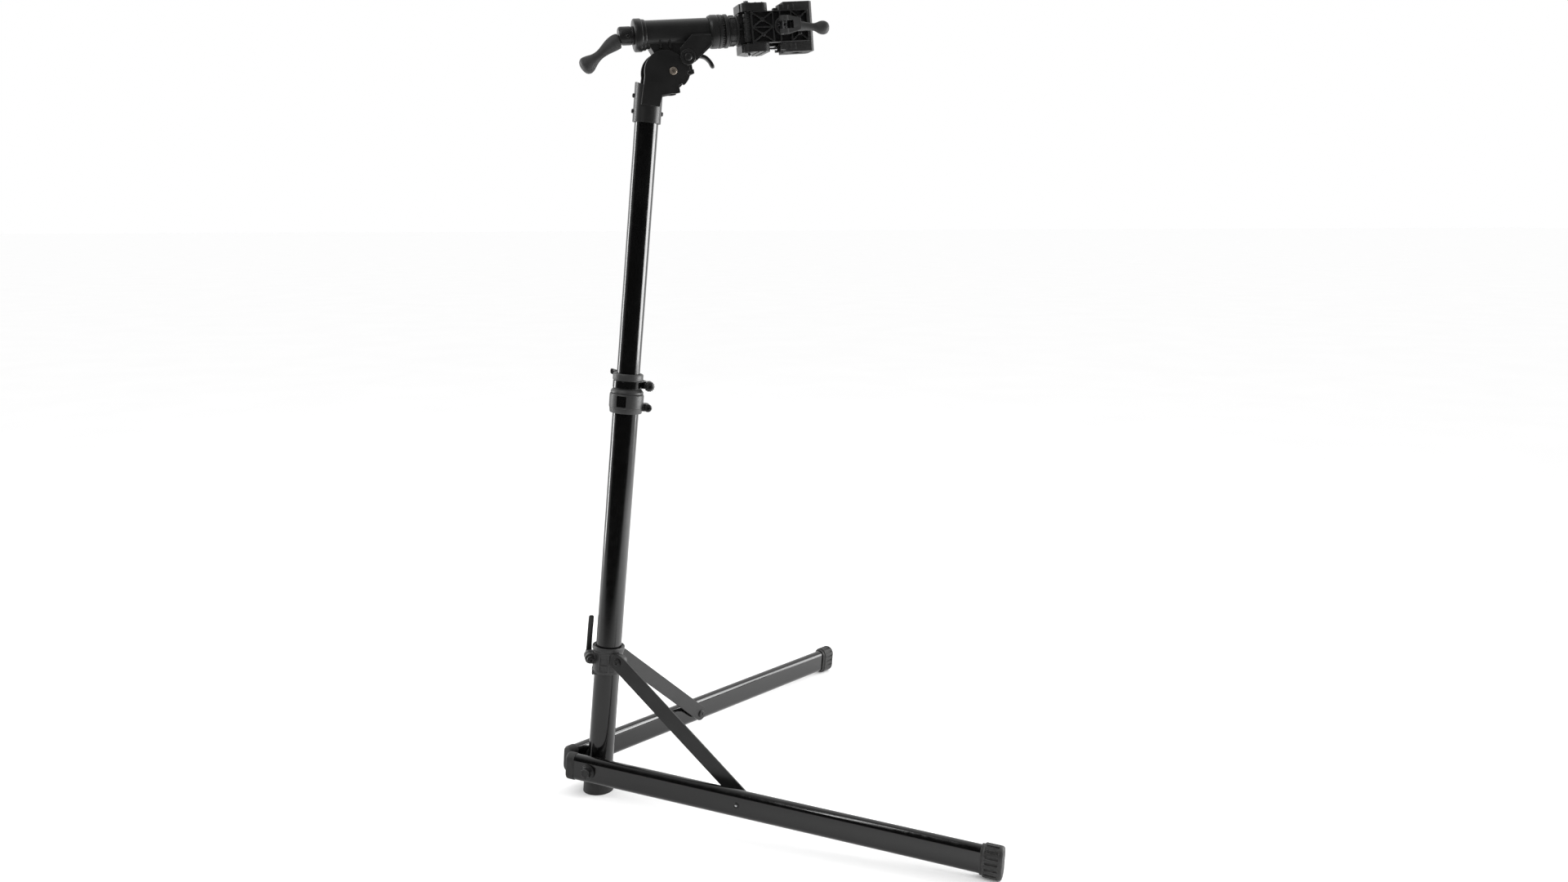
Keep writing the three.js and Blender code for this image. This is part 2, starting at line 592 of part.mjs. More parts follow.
function headYoke() {
  const { bottom, rearTop, frontTop, radius, plateInner, plateOuter, screws } = YOKE;
  const bore = MAST.upperRadius + GAP;
  const screwBore = SLEEVE_SCREW.radius + GAP;
  const slope = Math.atan2(rearTop - frontTop, 2 * radius);
  const topCut = box(-80, 80, -80, 80, 0, 60).rotateY(slope).translate(0, 0, (rearTop + frontTop) / 2);
  const sleeve = carve([ring(radius, bore, bottom, rearTop + 4)], [topCut]);
  const plates = [-1, 1].map((side) => plate(yokePlateShape(), side * plateInner, side * plateOuter));
  const holes = [
    rod(bore, bottom - 5, MAST.upperTop + GAP, ROUND),
    alongY(rod(TILT.boltRadius + GAP, -40, 40)).translate(TILT.forward, 0, TILT.height),
  ];
  const outward = (geometry, degrees, height) => alongX(geometry)
    .rotateZ(THREE.MathUtils.degToRad(degrees)).translate(0, 0, height);
  for (const [, degrees, height] of screws) {
    holes.push(outward(rod(screwBore, 15, 40, TINY_ROUND), degrees, height));
  }
  return [
    part('head_yoke', carve([sleeve, ...plates], holes), FINISH.satinBlack()),
    ...screws.map(([place, degrees, height]) => part(`sleeve_screw_${place}`,
      outward(sleeveScrew(), degrees, height), FINISH.blackSteel())),
  ];
}

// A domed screw that ends just short of the upper tube.
function sleeveScrew() {
  const { radius, headRadius } = SLEEVE_SCREW;
  const start = MAST.upperRadius + GAP + 0.1;
  const face = YOKE.radius + GAP;
  return turned([[0, start], [radius, start], [radius, face], [headRadius, face],
    [headRadius, face + 1.7], [radius, face + 2.7], [0, face + 2.7]], TINY_ROUND);
}

function tiltBolt() {
  const { boltRadius, headRadius, boltEnd } = TILT;
  const face = YOKE.plateOuter + GAP;
  const bolt = carve([
    turned([[0, -boltEnd], [boltRadius, -boltEnd], [boltRadius, face], [headRadius, face],
      [headRadius, face + 1.7], [headRadius - 0.8, face + 2.5], [0, face + 2.5]], SMALL_ROUND),
  ], [hexPrism(5, face - GAP, face + 5)]);
  const nut = carve([hexPrism(13, face, face + 6.2)], [rod(boltRadius + GAP, face - 3, face + 9)]);
  const across = (geometry) => alongY(geometry).translate(TILT.forward, 0, TILT.height);
  return [
    part('tilt_bolt', across(bolt.rotateX(Math.PI)), FINISH.bronze()),
    part('tilt_nut', across(nut), FINISH.steel()),
  ];
}

// ---------------------------------------------------------------- head

// The head tube, the web that tilts between the yoke plates, two fins and the latch cheeks.
function headBody() {
  const { radius, back, front, axis } = HEAD;
  const inner = radius - HEAD.wall;
  const onAxis = (geometry) => alongX(geometry).translate(0, 0, axis);
  const webHalf = YOKE.plateInner - 2 * GAP;
  const web = outline([[-36, 46], [-27, 28], [-12, 4], [12, 2], [12, 24], [34, 46]]);
  const bodies = [
    onAxis(ring(radius, inner, back, front)),
    plate(web, -webHalf, webHalf),
    plate(disc(0, 0, 13), -webHalf, webHalf),
  ];
  const fin = 3;
  for (const x of [-18, -2]) bodies.push(box(x, x + fin, -20.5, 20.5, axis - 24.5, axis - 5));
  const { cheekInner, cheekOuter, x, z, pinRadius, bossRadius, bossFace } = LATCH;
  const cheekFront = TURN.ringBack - 4.5;
  const cheek = outline([[34, 54], [13.5, 35], [14, 19], [30, 9], [37, 12], [cheekFront, 36.5],
    [cheekFront, 54]]);
  const root = outline([[24, 42.5], [cheekFront, 42.5], [cheekFront, 56], [36, 56]]);
  for (const side of [-1, 1]) {
    bodies.push(plate(cheek, side * cheekInner, side * cheekOuter));
    bodies.push(plate(disc(x, z, bossRadius), side * cheekInner, side * bossFace));
    bodies.push(plate(root, side * 8, side * cheekOuter));
  }
  const cuts = [
    onAxis(rod(inner, back - 5, front + 5, ROUND)),
    alongY(rod(TILT_BUSH.radius + GAP, -30, 30)),
    alongY(rod(pinRadius + GAP, -40, 40)).translate(x, 0, z),
  ];
  return part('head_body', carve(bodies, cuts), FINISH.satinBlack());
}

// The latch: its pin, the trigger with the tooth that drops in the yoke's notch, and its spring.
function latch() {
  const { x, z, pinRadius, bossFace } = LATCH;
  const face = bossFace + GAP;
  const pin = turned([[0, -face - 2], [5, -face - 2], [5, -face], [pinRadius, -face], [pinRadius, face],
    [6.5, face], [6.5, face + 1.4], [4.5, face + 3], [0, face + 3]], SMALL_ROUND);
  const armHalf = 9;
  const hub = plate(disc(0, 0, 8), -armHalf, armHalf);
  const arm = plate(outline([[-7, 3], [-4, -20], [10, -22], [8, 3]]), -armHalf, armHalf);
  const tooth = plate(outline([[3.4, -27.5], [9.5, -26], [9, -19], [3.6, -20]]), -22.5, 22.5);
  const trigger = handleShape([[4, -1], [16, 3], [30, 2], [40, -6], [46, -17]], 11, 6);
  const lever = carve([hub, arm, tooth, plate(trigger, -7.5, 7.5)],
    [alongY(rod(pinRadius + GAP, -30, 30))]);
  const at = frameAt(x, 0, z);
  at.add(
    part('latch_pin', alongY(pin.rotateX(Math.PI)), FINISH.steel()),
    part('latch_lever', lever, FINISH.darkPlastic()),
    part('latch_spring', latchSpring(), FINISH.steel()),
  );
  return at;
}

// The coil round the latch pin, beside the trigger's hub.
function latchSpring() {
  const { turns, pitch, coilRadius, wireRadius, start } = LATCH_SPRING;
  const stepsPerTurn = 8;
  const steps = turns * stepsPerTurn;
  const coil = [];
  for (let i = 0; i <= steps; i += 1) {
    const angle = (i / stepsPerTurn) * Math.PI * 2;
    coil.push(new THREE.Vector3(coilRadius * Math.cos(angle), start + (i / stepsPerTurn) * pitch,
      coilRadius * Math.sin(angle)));
  }
  const wire = new THREE.Shape();
  wire.absarc(0, 0, wireRadius, 0, Math.PI * 2);
  return new THREE.ExtrudeGeometry(wire, { steps, curveSegments: 2,
    extrudePath: new THREE.CatmullRomCurve3(coil) });
}

// ---------------------------------------------------------------- rotating clamp and its crank

function bearings() {
  const { capBack, capRadius, capFlangeFront, capFront, ringBack, ringFront, radius } = TURN;
  const bore = HEAD.shaftRadius + GAP;
  const over = HEAD.radius + GAP;
  const ridge = capRadius - 1.5;
  const rearCap = turned([
    [bore, capBack], [ridge, capBack], [capRadius, capBack + 2], [capRadius, capFlangeFront - 1],
    [ridge, capFlangeFront], [ridge, capFront], [over, capFront], [over, HEAD.back - GAP],
    [bore, HEAD.back - GAP], [bore, capBack],
  ]);
  const lip = 4;
  const indexRing = turned([
    [over, ringBack - lip], [radius - 1.7, ringBack - lip], [radius, ringBack], [radius, ringFront],
    [bore, ringFront], [bore, HEAD.front + GAP], [over, HEAD.front + GAP], [over, ringBack - lip],
  ]);
  return [
    part('rear_bearing_cap', alongX(rearCap), FINISH.plastic()),
    part('index_ring', alongX(indexRing), FINISH.plastic()),
  ];
}

// The crank hub on the end of the draw bolt, with its handle, which points back and down.
function crank() {
  const { hubBack, hubRadius, drawEnd, elbowX, elbowZ, shoulder, screwX, screwZ, screwRadius } = CRANK;
  const hubFront = TURN.capBack - 0.4;
  const armDirection = new THREE.Matrix4().makeRotationY(Math.PI / 2 + CRANK.drop);
  const toElbow = (geometry) => geometry.applyMatrix4(armDirection).translate(elbowX, 0, elbowZ);
  const hub = turned([[0, hubBack], [hubRadius - 2.5, hubBack], [hubRadius, hubBack + 3],
    [hubRadius, hubFront], [0, hubFront]]);
  const stemRadius = 5;
  const stem = toElbow(rod(stemRadius + GAP, -4, 40));
  const trim = toElbow(box(-40, 40, -40, 40, shoulder, 60));
  const hubBody = carve([alongX(hub)], [
    alongX(rod(HEAD.drawRadius + GAP, drawEnd - GAP, hubFront + 5)), stem, trim,
    alongY(rod(screwRadius + GAP, -30, -4.6, TINY_ROUND)).translate(screwX, 0, screwZ),
  ]);
  const grip = turned([
    [0, -3], [stemRadius, -3], [stemRadius, shoulder + GAP], [11.5, shoulder + GAP], [13.5, 9], [13, 20],
    [10, 34], [7.8, 46], [8, 52], [10.5, 60], [13.8, 67.5], [14.4, 73], [12.4, 79], [6.5, 82.2], [0, 82.8],
  ], SMALL_ROUND);
  const screw = carve([rod(screwRadius, 4.8, hubRadius + 0.5, TINY_ROUND)], [hexPrism(3, 12.5, 17)]);
  const setScrew = alongY(screw.rotateX(Math.PI)).translate(screwX, 0, screwZ);
  return [
    part('crank_hub', hubBody, FINISH.satinBlack()),
    part('crank_handle', toElbow(grip), FINISH.grip()),
    part('crank_set_screw', setScrew, FINISH.blackSteel()),
    part('draw_bolt', alongX(rod(HEAD.drawRadius, drawEnd, 96)), FINISH.steel()),
  ];
}

// The rotating shaft and plate that carry the clamp, with the draw bolt screwed into their middle.
function turntable() {
  const { plateBack, plateFront, radius, neckRadius, neckFront, shaftBack } = TURN;
  const bore = HEAD.drawRadius + GAP;
  const boreEnd = 98;
  const body = turned([
    [bore, shaftBack], [HEAD.shaftRadius, shaftBack], [HEAD.shaftRadius, plateBack],
    [radius, plateBack], [radius, plateFront], [neckRadius, plateFront], [neckRadius, neckFront],
    [0, neckFront], [0, boreEnd], [bore, boreEnd], [bore, shaftBack],
  ]);
  return part('turntable', alongX(body), FINISH.darkPlastic());
}

// ---------------------------------------------------------------- jaws

// The lattice side of a jaw: a tray and the pockets between its crossed ribs.
function jawLattice(side, back) {
  const { front, half, inner, skin, outer, rodX } = JAW;
  const halfRib = 1.5;
  const rim = 3;
  const bossBack = 18;
  const bossFront = 17;
  const tray = box(back, front, side * inner, side * outer, -half, half);
  const pockets = [];
  const pocket = (points) => pockets.push(plate(outline(points), side * skin, side * (outer + 5)));
  for (const [x0, x1] of [[back + rim, rodX - bossBack], [rodX + bossFront, front - rim]]) {
    const middle = (x0 + x1) / 2;
    const height = half - rim;
    for (const up of [-1, 1]) {
      const centre = (up * height) / 2;
      pocket([[x0 + rim, up * halfRib], [x1 - rim, up * halfRib], [middle, centre - up * halfRib]]);
      pocket([[x0 + rim, up * height], [x1 - rim, up * height], [middle, centre + up * halfRib]]);
      pocket([[x0, up * rim], [x0, up * (height - halfRib)], [middle - rim, centre]]);
      pocket([[x1, up * rim], [x1, up * (height - halfRib)], [middle + rim, centre]]);
    }
  }
  return { tray, pockets };
}

// One end plate of the fixed jaw in plan: round ears for the hinge pin and a slanted back.
function lobeShape() {
  const { hingeX, hingeY, earRadius, lobeFront, outer, slantX, slantY } = JAW;
  const back = TURN.neckFront + GAP;
  const nearCorner = 14;
  const farCorner = 10;
  const lobe = new THREE.Shape();
  lobe.moveTo(slantX, outer);
  lobe.lineTo(back, slantY);
  lobe.lineTo(back, hingeY);
  lobe.absarc(hingeX + 1, hingeY, earRadius, Math.PI, Math.PI * 1.5);
  const nearY = hingeY - earRadius + nearCorner;
  lobe.absarc(lobeFront - nearCorner, nearY, nearCorner, Math.PI * 1.5, Math.PI * 2);
  lobe.absarc(lobeFront - farCorner, outer - farCorner, farCorner, 0, Math.PI / 2);
  return lobe;
}

function fixedJaw() {
  const { hingeX, hingeY, lobeInner, lobeOuter, outer, inner, rodX, half, slantX, slantY, pinRadius } = JAW;
  const back = TURN.neckFront + GAP;
  const wall = 7;
  const { tray, pockets } = jawLattice(1, slantX);
  const web = new THREE.Shape([[back, -18], [back + wall, -18], [back + wall, slantY], [slantX + wall, inner],
    [slantX + wall, outer], [slantX, outer], [back, slantY]].map(([x, y]) => new THREE.Vector2(x, y)));
  const slab = (shape, low, high) => new THREE.ExtrudeGeometry(shape,
    { depth: high - low, bevelEnabled: false, curveSegments: ARC_STEPS }).translate(0, 0, low);
  const seam = 0.01;
  const bodies = [tray, slab(web, -half, half), slab(lobeShape(), half - seam, lobeOuter),
    slab(lobeShape(), -lobeOuter, seam - half)];
  const cuts = [
    ...pockets,
    rod(pinRadius + GAP, -60, 60).translate(hingeX, hingeY, 0),
    box(back + wall - 2.7, 240, -60, slantY - 2, -lobeInner, lobeInner),
    alongY(rod(JAW.rodRadius + GAP, 10, 60)).translate(rodX, 0, 0),
    alongX(rod(TIE_ROD.radius + GAP, 150, 175, TINY_ROUND)).translate(0, TIE_ROD.y, TIE_ROD.z),
  ];
  return part('fixed_jaw', carve(bodies, cuts), FINISH.darkPlastic());
}

function movingJaw() {
  const { hingeX, hingeY, knuckleRadius, knuckleHalf, inner, outer, rodX, pinRadius } = JAW;
  const { tray, pockets } = jawLattice(-1, hingeX + 3.5);
  const seatRadius = 14.5;
  const seatFace = outer + 3;
  const knuckle = rod(knuckleRadius, -knuckleHalf, knuckleHalf).translate(hingeX, hingeY, 0);
  const seat = alongY(rod(seatRadius, -seatFace, 9 - outer)).translate(rodX, 0, 0);
  const neck = box(hingeX + 2, hingeX + 4.5, -inner - 0.5, hingeY - 5, -knuckleHalf, knuckleHalf);
  const rodSlot = box(rodX - 9, rodX + 7, 5 - inner, -outer - 8, -4.6, 4.6);
  const pin = rod(pinRadius + GAP, -60, 60).translate(hingeX, hingeY, 0);
  return part('moving_jaw', carve([tray, knuckle, neck, seat], [...pockets, rodSlot, pin]),
    FINISH.darkPlastic());
}

// A rubber pad with an upright groove; side is -1 on the moving jaw and +1 on the fixed one. Low
// steps behind it reach past the clamp rod.
function jawPad(name, side) {
  const { back, front, half, face, seat, grooveDepth, grooveHalf, grooveAt } = PAD;
  const grooveFloor = 3;
  const chamfer = 5;
  const shape = outline([
    [back, face], [grooveAt - grooveHalf, face], [grooveAt - grooveFloor, face + grooveDepth],
    [grooveAt + grooveFloor, face + grooveDepth], [grooveAt + grooveHalf, face], [front, face],
    [front, seat - chamfer], [front - chamfer, seat], [back, seat],
  ]);
  const block = new THREE.ExtrudeGeometry(shape, { depth: 2 * half, bevelEnabled: false })
    .translate(0, 0, -half);
  if (side < 0) block.scale(1, -1, 1);
  const stepDepth = 10;
  const steps = [-1, 1].map((up) => box(PAD.stepBack, back + 1, side * (seat - stepDepth), side * seat,
    up * PAD.stepLow, up * PAD.stepHigh));
  const rodRoom = 2;
  const rodHole = box(back - 1, back + rodRoom, side * -5, side * 40, -5.2, 5.2);
  return part(name, carve([block, ...steps], side < 0 ? [rodHole] : []), FINISH.rubber());
}

// The clamp rod with its adjuster, the hinge pin and the tie rod under the jaws.
function clampHardware() {
  const { hingeX, hingeY, lobeOuter, outer, rodX, rodRadius, pinRadius } = JAW;
  const clampRod = alongY(rod(rodRadius, 2 - outer, outer + 14)).translate(rodX, 0, 0);
  const knob = carve([
    turned([[0, outer + GAP], [9, outer + GAP], [14, outer + 4], [14, outer + 14], [12, outer + 17],
      [0, outer + 17]], SMALL_ROUND),
  ], [rod(rodRadius + GAP, outer - 3, outer + 15)]);
  const headRadius = 5.5;
  const pin = turned([[0, -lobeOuter - 5], [pinRadius, -lobeOuter - 5], [pinRadius, lobeOuter + GAP],
    [headRadius, lobeOuter + GAP], [headRadius, lobeOuter + 2], [headRadius - 1.5, lobeOuter + 3.4],
    [0, lobeOuter + 3.4]], SMALL_ROUND);
  const tieRod = alongX(rod(TIE_ROD.radius, TIE_ROD.back, TIE_ROD.front, TINY_ROUND));
  return [
    part('clamp_rod', clampRod, FINISH.steel()),
    part('adjuster_knob', alongY(knob).translate(rodX, 0, 0), FINISH.darkPlastic()),
    part('jaw_hinge_pin', pin.translate(hingeX, hingeY, 0), FINISH.steel()),
    part('jaw_tie_rod', tieRod.translate(0, TIE_ROD.y, TIE_ROD.z), FINISH.steel()),
  ];
}

// The quick release on the near jaw: a fork round a cam barrel, a waisted handle and a ball end.
function jawLever() {
  const { barrelRadius, camRadius, halfWidth, standOff, windowHalf } = JAW_LEVER;
  const camY = -(JAW.outer + standOff);
  const barrel = rod(barrelRadius, 1 - halfWidth, halfWidth - 1);
  const cam = rod(camRadius, -halfWidth, halfWidth);
  const profile = turned([[0, 4], [8.5, 4], [9.5, 14], [8, 26], [6, 44], [6, 52], [9, 56], [11, 62],
    [10.5, 69], [7, 73.5], [0, 75.5]], SMALL_ROUND);
  const handle = alongX(profile).scale(1, 0.85, 1).rotateY(JAW_LEVER.droop);
  const fork = plate(outline([[-5, -halfWidth], [6, -halfWidth], [24, -9], [24, 9], [6, halfWidth],
    [-5, halfWidth]]), -7.5, 7.5);
  const window = box(-16, 13, -16, 16, -windowHalf, windowHalf);
  const lever = carve([cam, handle, fork], [window, rod(barrelRadius + GAP, -20, 20)]);
  return [
    part('jaw_barrel', barrel.translate(JAW.rodX, camY, 0), FINISH.steel()),
    part('jaw_lever', lever.translate(JAW.rodX, camY, 0), FINISH.grip()),
  ];
}

// ---------------------------------------------------------------- assembly

function buildHead() {
  const head = frameAt(TILT.forward, 0, TILT.height);
  head.rotation.y = -(HEAD.rise + LEAN);
  const { radius, half } = TILT_BUSH;
  const bush = alongY(ring(radius, TILT.boltRadius + GAP, -half, half, SMALL_ROUND));
  head.add(headBody(), part('tilt_bush', bush, FINISH.steel()), latch());
  const spin = frameAt(0, 0, HEAD.axis);
  spin.add(...bearings(), ...crank(), turntable(), fixedJaw(), movingJaw());
  spin.add(jawPad('fixed_pad', 1), jawPad('moving_pad', -1));
  spin.add(...clampHardware(), ...jawLever());
  head.add(spin);
  return head;
}

const stand = new THREE.Group();
const mast = new THREE.Group();
mast.rotation.y = LEAN;
mast.add(lowerTube(), columnFoot(), baseBracket());
mast.add(foldPlane('right', -1), foldPlane('left', 1));
mast.add(slidingCollar(), ...tubeCollar(), ...clampSleeve(), bandRelease());
mast.add(...upperMast(), ...headYoke(), ...tiltBolt(), buildHead());
stand.add(mast);

export default stand;
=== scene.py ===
import json
import math

import bmesh
import bpy
from mathutils import Matrix, Vector

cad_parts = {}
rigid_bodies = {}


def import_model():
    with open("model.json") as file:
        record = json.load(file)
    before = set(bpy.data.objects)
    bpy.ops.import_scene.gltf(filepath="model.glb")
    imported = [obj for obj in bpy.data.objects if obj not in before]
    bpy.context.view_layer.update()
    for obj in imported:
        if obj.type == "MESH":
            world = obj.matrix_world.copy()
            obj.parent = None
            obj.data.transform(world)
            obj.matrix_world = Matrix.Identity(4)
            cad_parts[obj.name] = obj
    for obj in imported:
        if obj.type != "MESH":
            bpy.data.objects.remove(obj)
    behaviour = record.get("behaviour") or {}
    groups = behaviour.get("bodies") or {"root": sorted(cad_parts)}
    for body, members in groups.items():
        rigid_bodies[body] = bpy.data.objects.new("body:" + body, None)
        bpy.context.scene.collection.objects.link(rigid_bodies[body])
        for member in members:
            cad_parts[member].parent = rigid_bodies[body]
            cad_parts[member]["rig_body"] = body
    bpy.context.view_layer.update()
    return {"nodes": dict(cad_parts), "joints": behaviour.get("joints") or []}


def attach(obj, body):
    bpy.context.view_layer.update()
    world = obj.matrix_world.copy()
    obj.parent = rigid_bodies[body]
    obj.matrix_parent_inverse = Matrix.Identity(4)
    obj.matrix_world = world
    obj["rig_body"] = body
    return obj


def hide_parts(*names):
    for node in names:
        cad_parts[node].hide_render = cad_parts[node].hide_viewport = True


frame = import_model()

# The looks of a folding bike repair stand. Each visible CAD node gets a finer mesh in its place.
#
# Meshes are drawn in millimetres in the local frame of the mechanism they belong to: the leaning
# mast, a leg, the tilting head or the rotating clamp. The frames come from the CAD joints, and
# most sizes come from the CAD nodes through span().

# GAP is the clearance between neighbouring parts, and PAST is how far a cutting tool reaches
# beyond the part. ROUND and its like are the numbers of points on a circle.

MM = 0.001
FINE_ROUND = 96
ROUND = 72
SMALL_ROUND = 40
GAP = 0.3
PAST = 5
ALONG_X = (1, 0, 0)
SIDES = {"right": -1, "left": 1}
LEFTWARD = Vector((0, 1, 0))

# The viewer looks from the right of the stand and a little from behind it. Lens in millimetres,
# place in metres.
VIEW_AZIMUTH = math.radians(-14.62)
VIEW_ELEVATION = math.radians(10.32)
VIEW_PLACE = (-0.21667, -2.15595, 1.02673)
LENS = 29.17
VIEW_RIGHT = Vector((math.cos(VIEW_AZIMUTH), math.sin(VIEW_AZIMUTH), 0))
VIEW_AWAY = Vector((-math.sin(VIEW_AZIMUTH), math.cos(VIEW_AZIMUTH), 0))

JOINTS = {joint["name"]: joint for joint in frame["joints"]}
scene = bpy.context.scene


# --- frames


def joint_point(name):
    return Vector(JOINTS[name]["pos_m"]) / MM


def joint_axis(name):
    return Vector(JOINTS[name]["axis"]).normalized()


def basis(origin, y, x=None, z=None):
    """A frame at a point from its exact y axis and a rough x or z axis."""
    if x is None:
        x = y.cross(z)
    x = (x - y * x.dot(y)).normalized()
    axes = Matrix((x, y, x.cross(y))).transposed().to_4x4()
    return Matrix.Translation(origin) @ axes


def in_metres(place):
    moved_place = place.copy()
    moved_place.translation = place.translation * MM
    return moved_place


def span(place, *nodes):
    """The lowest and highest corners of CAD nodes, measured along a frame's axes."""
    to_local = place.inverted()
    points = [to_local @ (vertex.co / MM) for name in nodes for vertex in frame["nodes"][name].data.vertices]
    low = Vector([min(point[axis] for point in points) for axis in range(3)])
    high = Vector([max(point[axis] for point in points) for axis in range(3)])
    return low, high


def middle(place, *nodes):
    low, high = span(place, *nodes)
    return (low + high) / 2


def leg_place(fold, brace_swing):
    """A leg's frame: origin on its pivot, x along the leg, y to the left across it."""
    return basis(joint_point(fold), y=-joint_axis(fold), x=joint_point(brace_swing) - joint_point(fold))


MAST = basis(Vector(), y=LEFTWARD, z=joint_axis("height_slide"))
LEG = {
    "right": leg_place("leg_fold", "right_brace_swing"),
    "left": leg_place("left_leg_fold", "left_brace_swing"),
}
FOLD = {prefix: basis(LEG[prefix].translation, y=-joint_axis(fold), z=joint_axis("height_slide"))
        for prefix, fold in (("right", "leg_fold"), ("left", "left_leg_fold"))}
HEAD = basis(joint_point("head_tilt"), y=LEFTWARD, x=joint_axis("clamp_turn"))
AXIS_HEIGHT = (HEAD.inverted() @ joint_point("clamp_turn")).z
SPIN = HEAD @ Matrix.Translation((0, 0, AXIS_HEIGHT))


# --- outlines


def arc(x, y, radius, start, end, count=12):
    """Points on an arc, with its angles in degrees."""
    angles = [math.radians(start + (end - start) * step / count) for step in range(count + 1)]
    return [(x + radius * math.cos(angle), y + radius * math.sin(angle)) for angle in angles]


def circle(x, y, radius, count=SMALL_ROUND):
    return arc(x, y, radius, 0, 360, count)[:-1]


def rectangle(left, right, low, high):
    return [(left, low), (right, low), (right, high), (left, high)]


def off(x, y, *steps):
    """Points given by their steps from one corner."""
    return [(x + step_x, y + step_y) for step_x, step_y in steps]


def hexagon(across_flats):
    return arc(0, 0, across_flats / math.sqrt(3), 30, 330, 5)


def bar(start, end, width):
    """A straight bar with round ends."""
    turn = math.degrees(math.atan2(end[1] - start[1], end[0] - start[0]))
    return (arc(*end, width / 2, turn - 90, turn + 90) + arc(*start, width / 2, turn + 90, turn + 270))


def oval(height, width):
    """A flat-sided oval with its round ends up and down."""
    reach = (height - width) / 2
    return bar((0, -reach), (0, reach), width)


def rounded(points, radius, steps=4):
    """A closed outline with each corner eased by a curve of about the given radius."""
    path = []
    for index, corner in enumerate(points):
        corner = Vector(corner)
        before = Vector(points[index - 1]) - corner
        after = Vector(points[(index + 1) % len(points)]) - corner
        half_angle = before.angle(after) / 2
        reach = min(radius / math.tan(half_angle), before.length * 0.48, after.length * 0.48)
        start = corner + before.normalized() * reach
        end = corner + after.normalized() * reach
        for step in range(steps + 1):
            t = step / steps
            path.append(tuple(start * (1 - t) ** 2 + corner * 2 * t * (1 - t) + end * t**2))
    return path


def smooth(stations, steps=6):
    """More stations along a curve through the given ones."""
    rows = [Vector(station) for station in stations]
    fine = []
    for index in range(len(rows) - 1):
        a = rows[max(index - 1, 0)]
        b = rows[index]
        c = rows[index + 1]
        d = rows[min(index + 2, len(rows) - 1)]
        for step in range(steps):
            t = step / steps
            fine.append(((2 * b) + (c - a) * t + (2 * a - 5 * b + 4 * c - d) * t**2
                         + (3 * b - 3 * c + d - a) * t**3) / 2)
    return fine + [rows[-1]]


# --- solids


def skin(bm, lower, upper):
    """Faces between two rings of points, either of which may be a single point."""
    for step in range(max(len(lower), len(upper))):
        corners = list(dict.fromkeys((lower[step % len(lower)], lower[(step + 1) % len(lower)],
                                      upper[(step + 1) % len(upper)], upper[step % len(upper)])))
        if len(corners) > 2:
            bm.faces.new(corners)


def solid(bm):
    """The mesh of a closed shape, with its faces outward."""
    bmesh.ops.recalc_face_normals(bm, faces=bm.faces)
    mesh = bpy.data.meshes.new("solid")
    bm.to_mesh(mesh)
    bm.free()
    return mesh


def lofted(rings):
    """A solid through rings of points. A ring may be one point, which closes that end."""
    bm = bmesh.new()
    loops = [[bm.verts.new(point) for point in ring] for ring in rings]
    for lower, upper in zip(loops, loops[1:]):
        skin(bm, lower, upper)
    for end in (loops[0], loops[-1]):
        if len(end) > 1:
            bm.faces.new(end)
    return solid(bm)


def prism(outline, low, high):
    """A solid with its outline in x and y between two heights."""
    return lofted([[(x, y, z) for x, y in outline] for z in (low, high)])


def plate(outline, low, high):
    """A solid with its outline in x and z between two values of y."""
    return lofted([[(x, y, z) for x, z in outline] for y in (low, high)])


def block(x, y, z):
    """A box between pairs of values."""
    return prism(rectangle(*x, *y), *z)


def turned(profile, count=ROUND):
    """A solid turned round z from (radius, z) points. A profile off the axis is a closed loop."""
    bm = bmesh.new()
    rings = []
    for radius, z in profile:
        points = [(0, 0, z)] if radius == 0 else [(*point, z) for point in circle(0, 0, radius, count)]
        rings.append([bm.verts.new(point) for point in points])
    if profile[0][0] > 0:
        rings.append(rings[0])
    for lower, upper in zip(rings, rings[1:]):
        skin(bm, lower, upper)
    return solid(bm)


def pipe(radius, bore, low, high, count=ROUND):
    return turned([(bore, low), (radius, low), (radius, high), (bore, high)], count)


def rod(radius, low, high, count=SMALL_ROUND):
    return turned([(0, low), (radius, low), (radius, high), (0, high)], count)


def swept(stations, count=24, squareness=2.0):
    """A bent rod in the x-z plane through stations of (x, z, half thickness, half breadth)."""
    fine = smooth(stations)
    rings = []
    for index, (x, z, thick, broad) in enumerate(fine):
        ahead = fine[min(index + 1, len(fine) - 1)] - fine[max(index - 1, 0)]
        across = Vector((-ahead[1], ahead[0])).normalized()
        ring = []
        for step in range(count):
            angle = math.tau * step / count
            u, v = (math.copysign(abs(part) ** (2 / squareness), part)
                    for part in (math.cos(angle), math.sin(angle)))
            ring.append((x + across.x * u * thick, v * broad, z + across.y * u * thick))
        rings.append(ring)
    return lofted(rings)


def facing(x, y, z):
    """The turn that takes +z to a direction."""
    return Vector((0, 0, 1)).rotation_difference(Vector((x, y, z))).to_matrix().to_4x4()


def at(x, y, z):
    return Matrix.Translation((x, y, z))


def across(point, side):
    """Takes +z to one side of a frame, on the crosswise line through a point."""
    return at(point.x, 0, point.z) @ facing(0, side, 0)


def turned_by(degrees):
    return Matrix.Rotation(math.radians(degrees), 4, "Z")


def moved(mesh, matrix):
    mesh.transform(matrix)
    return mesh


def ring_of(mesh, count, axis="X", offset=0.0):
    """Copies of a shell spaced evenly round an axis, turned by a share of one space."""
    return [moved(mesh.copy(), Matrix.Rotation(math.tau * (step + offset) / count, 4, axis))
            for step in range(count)]


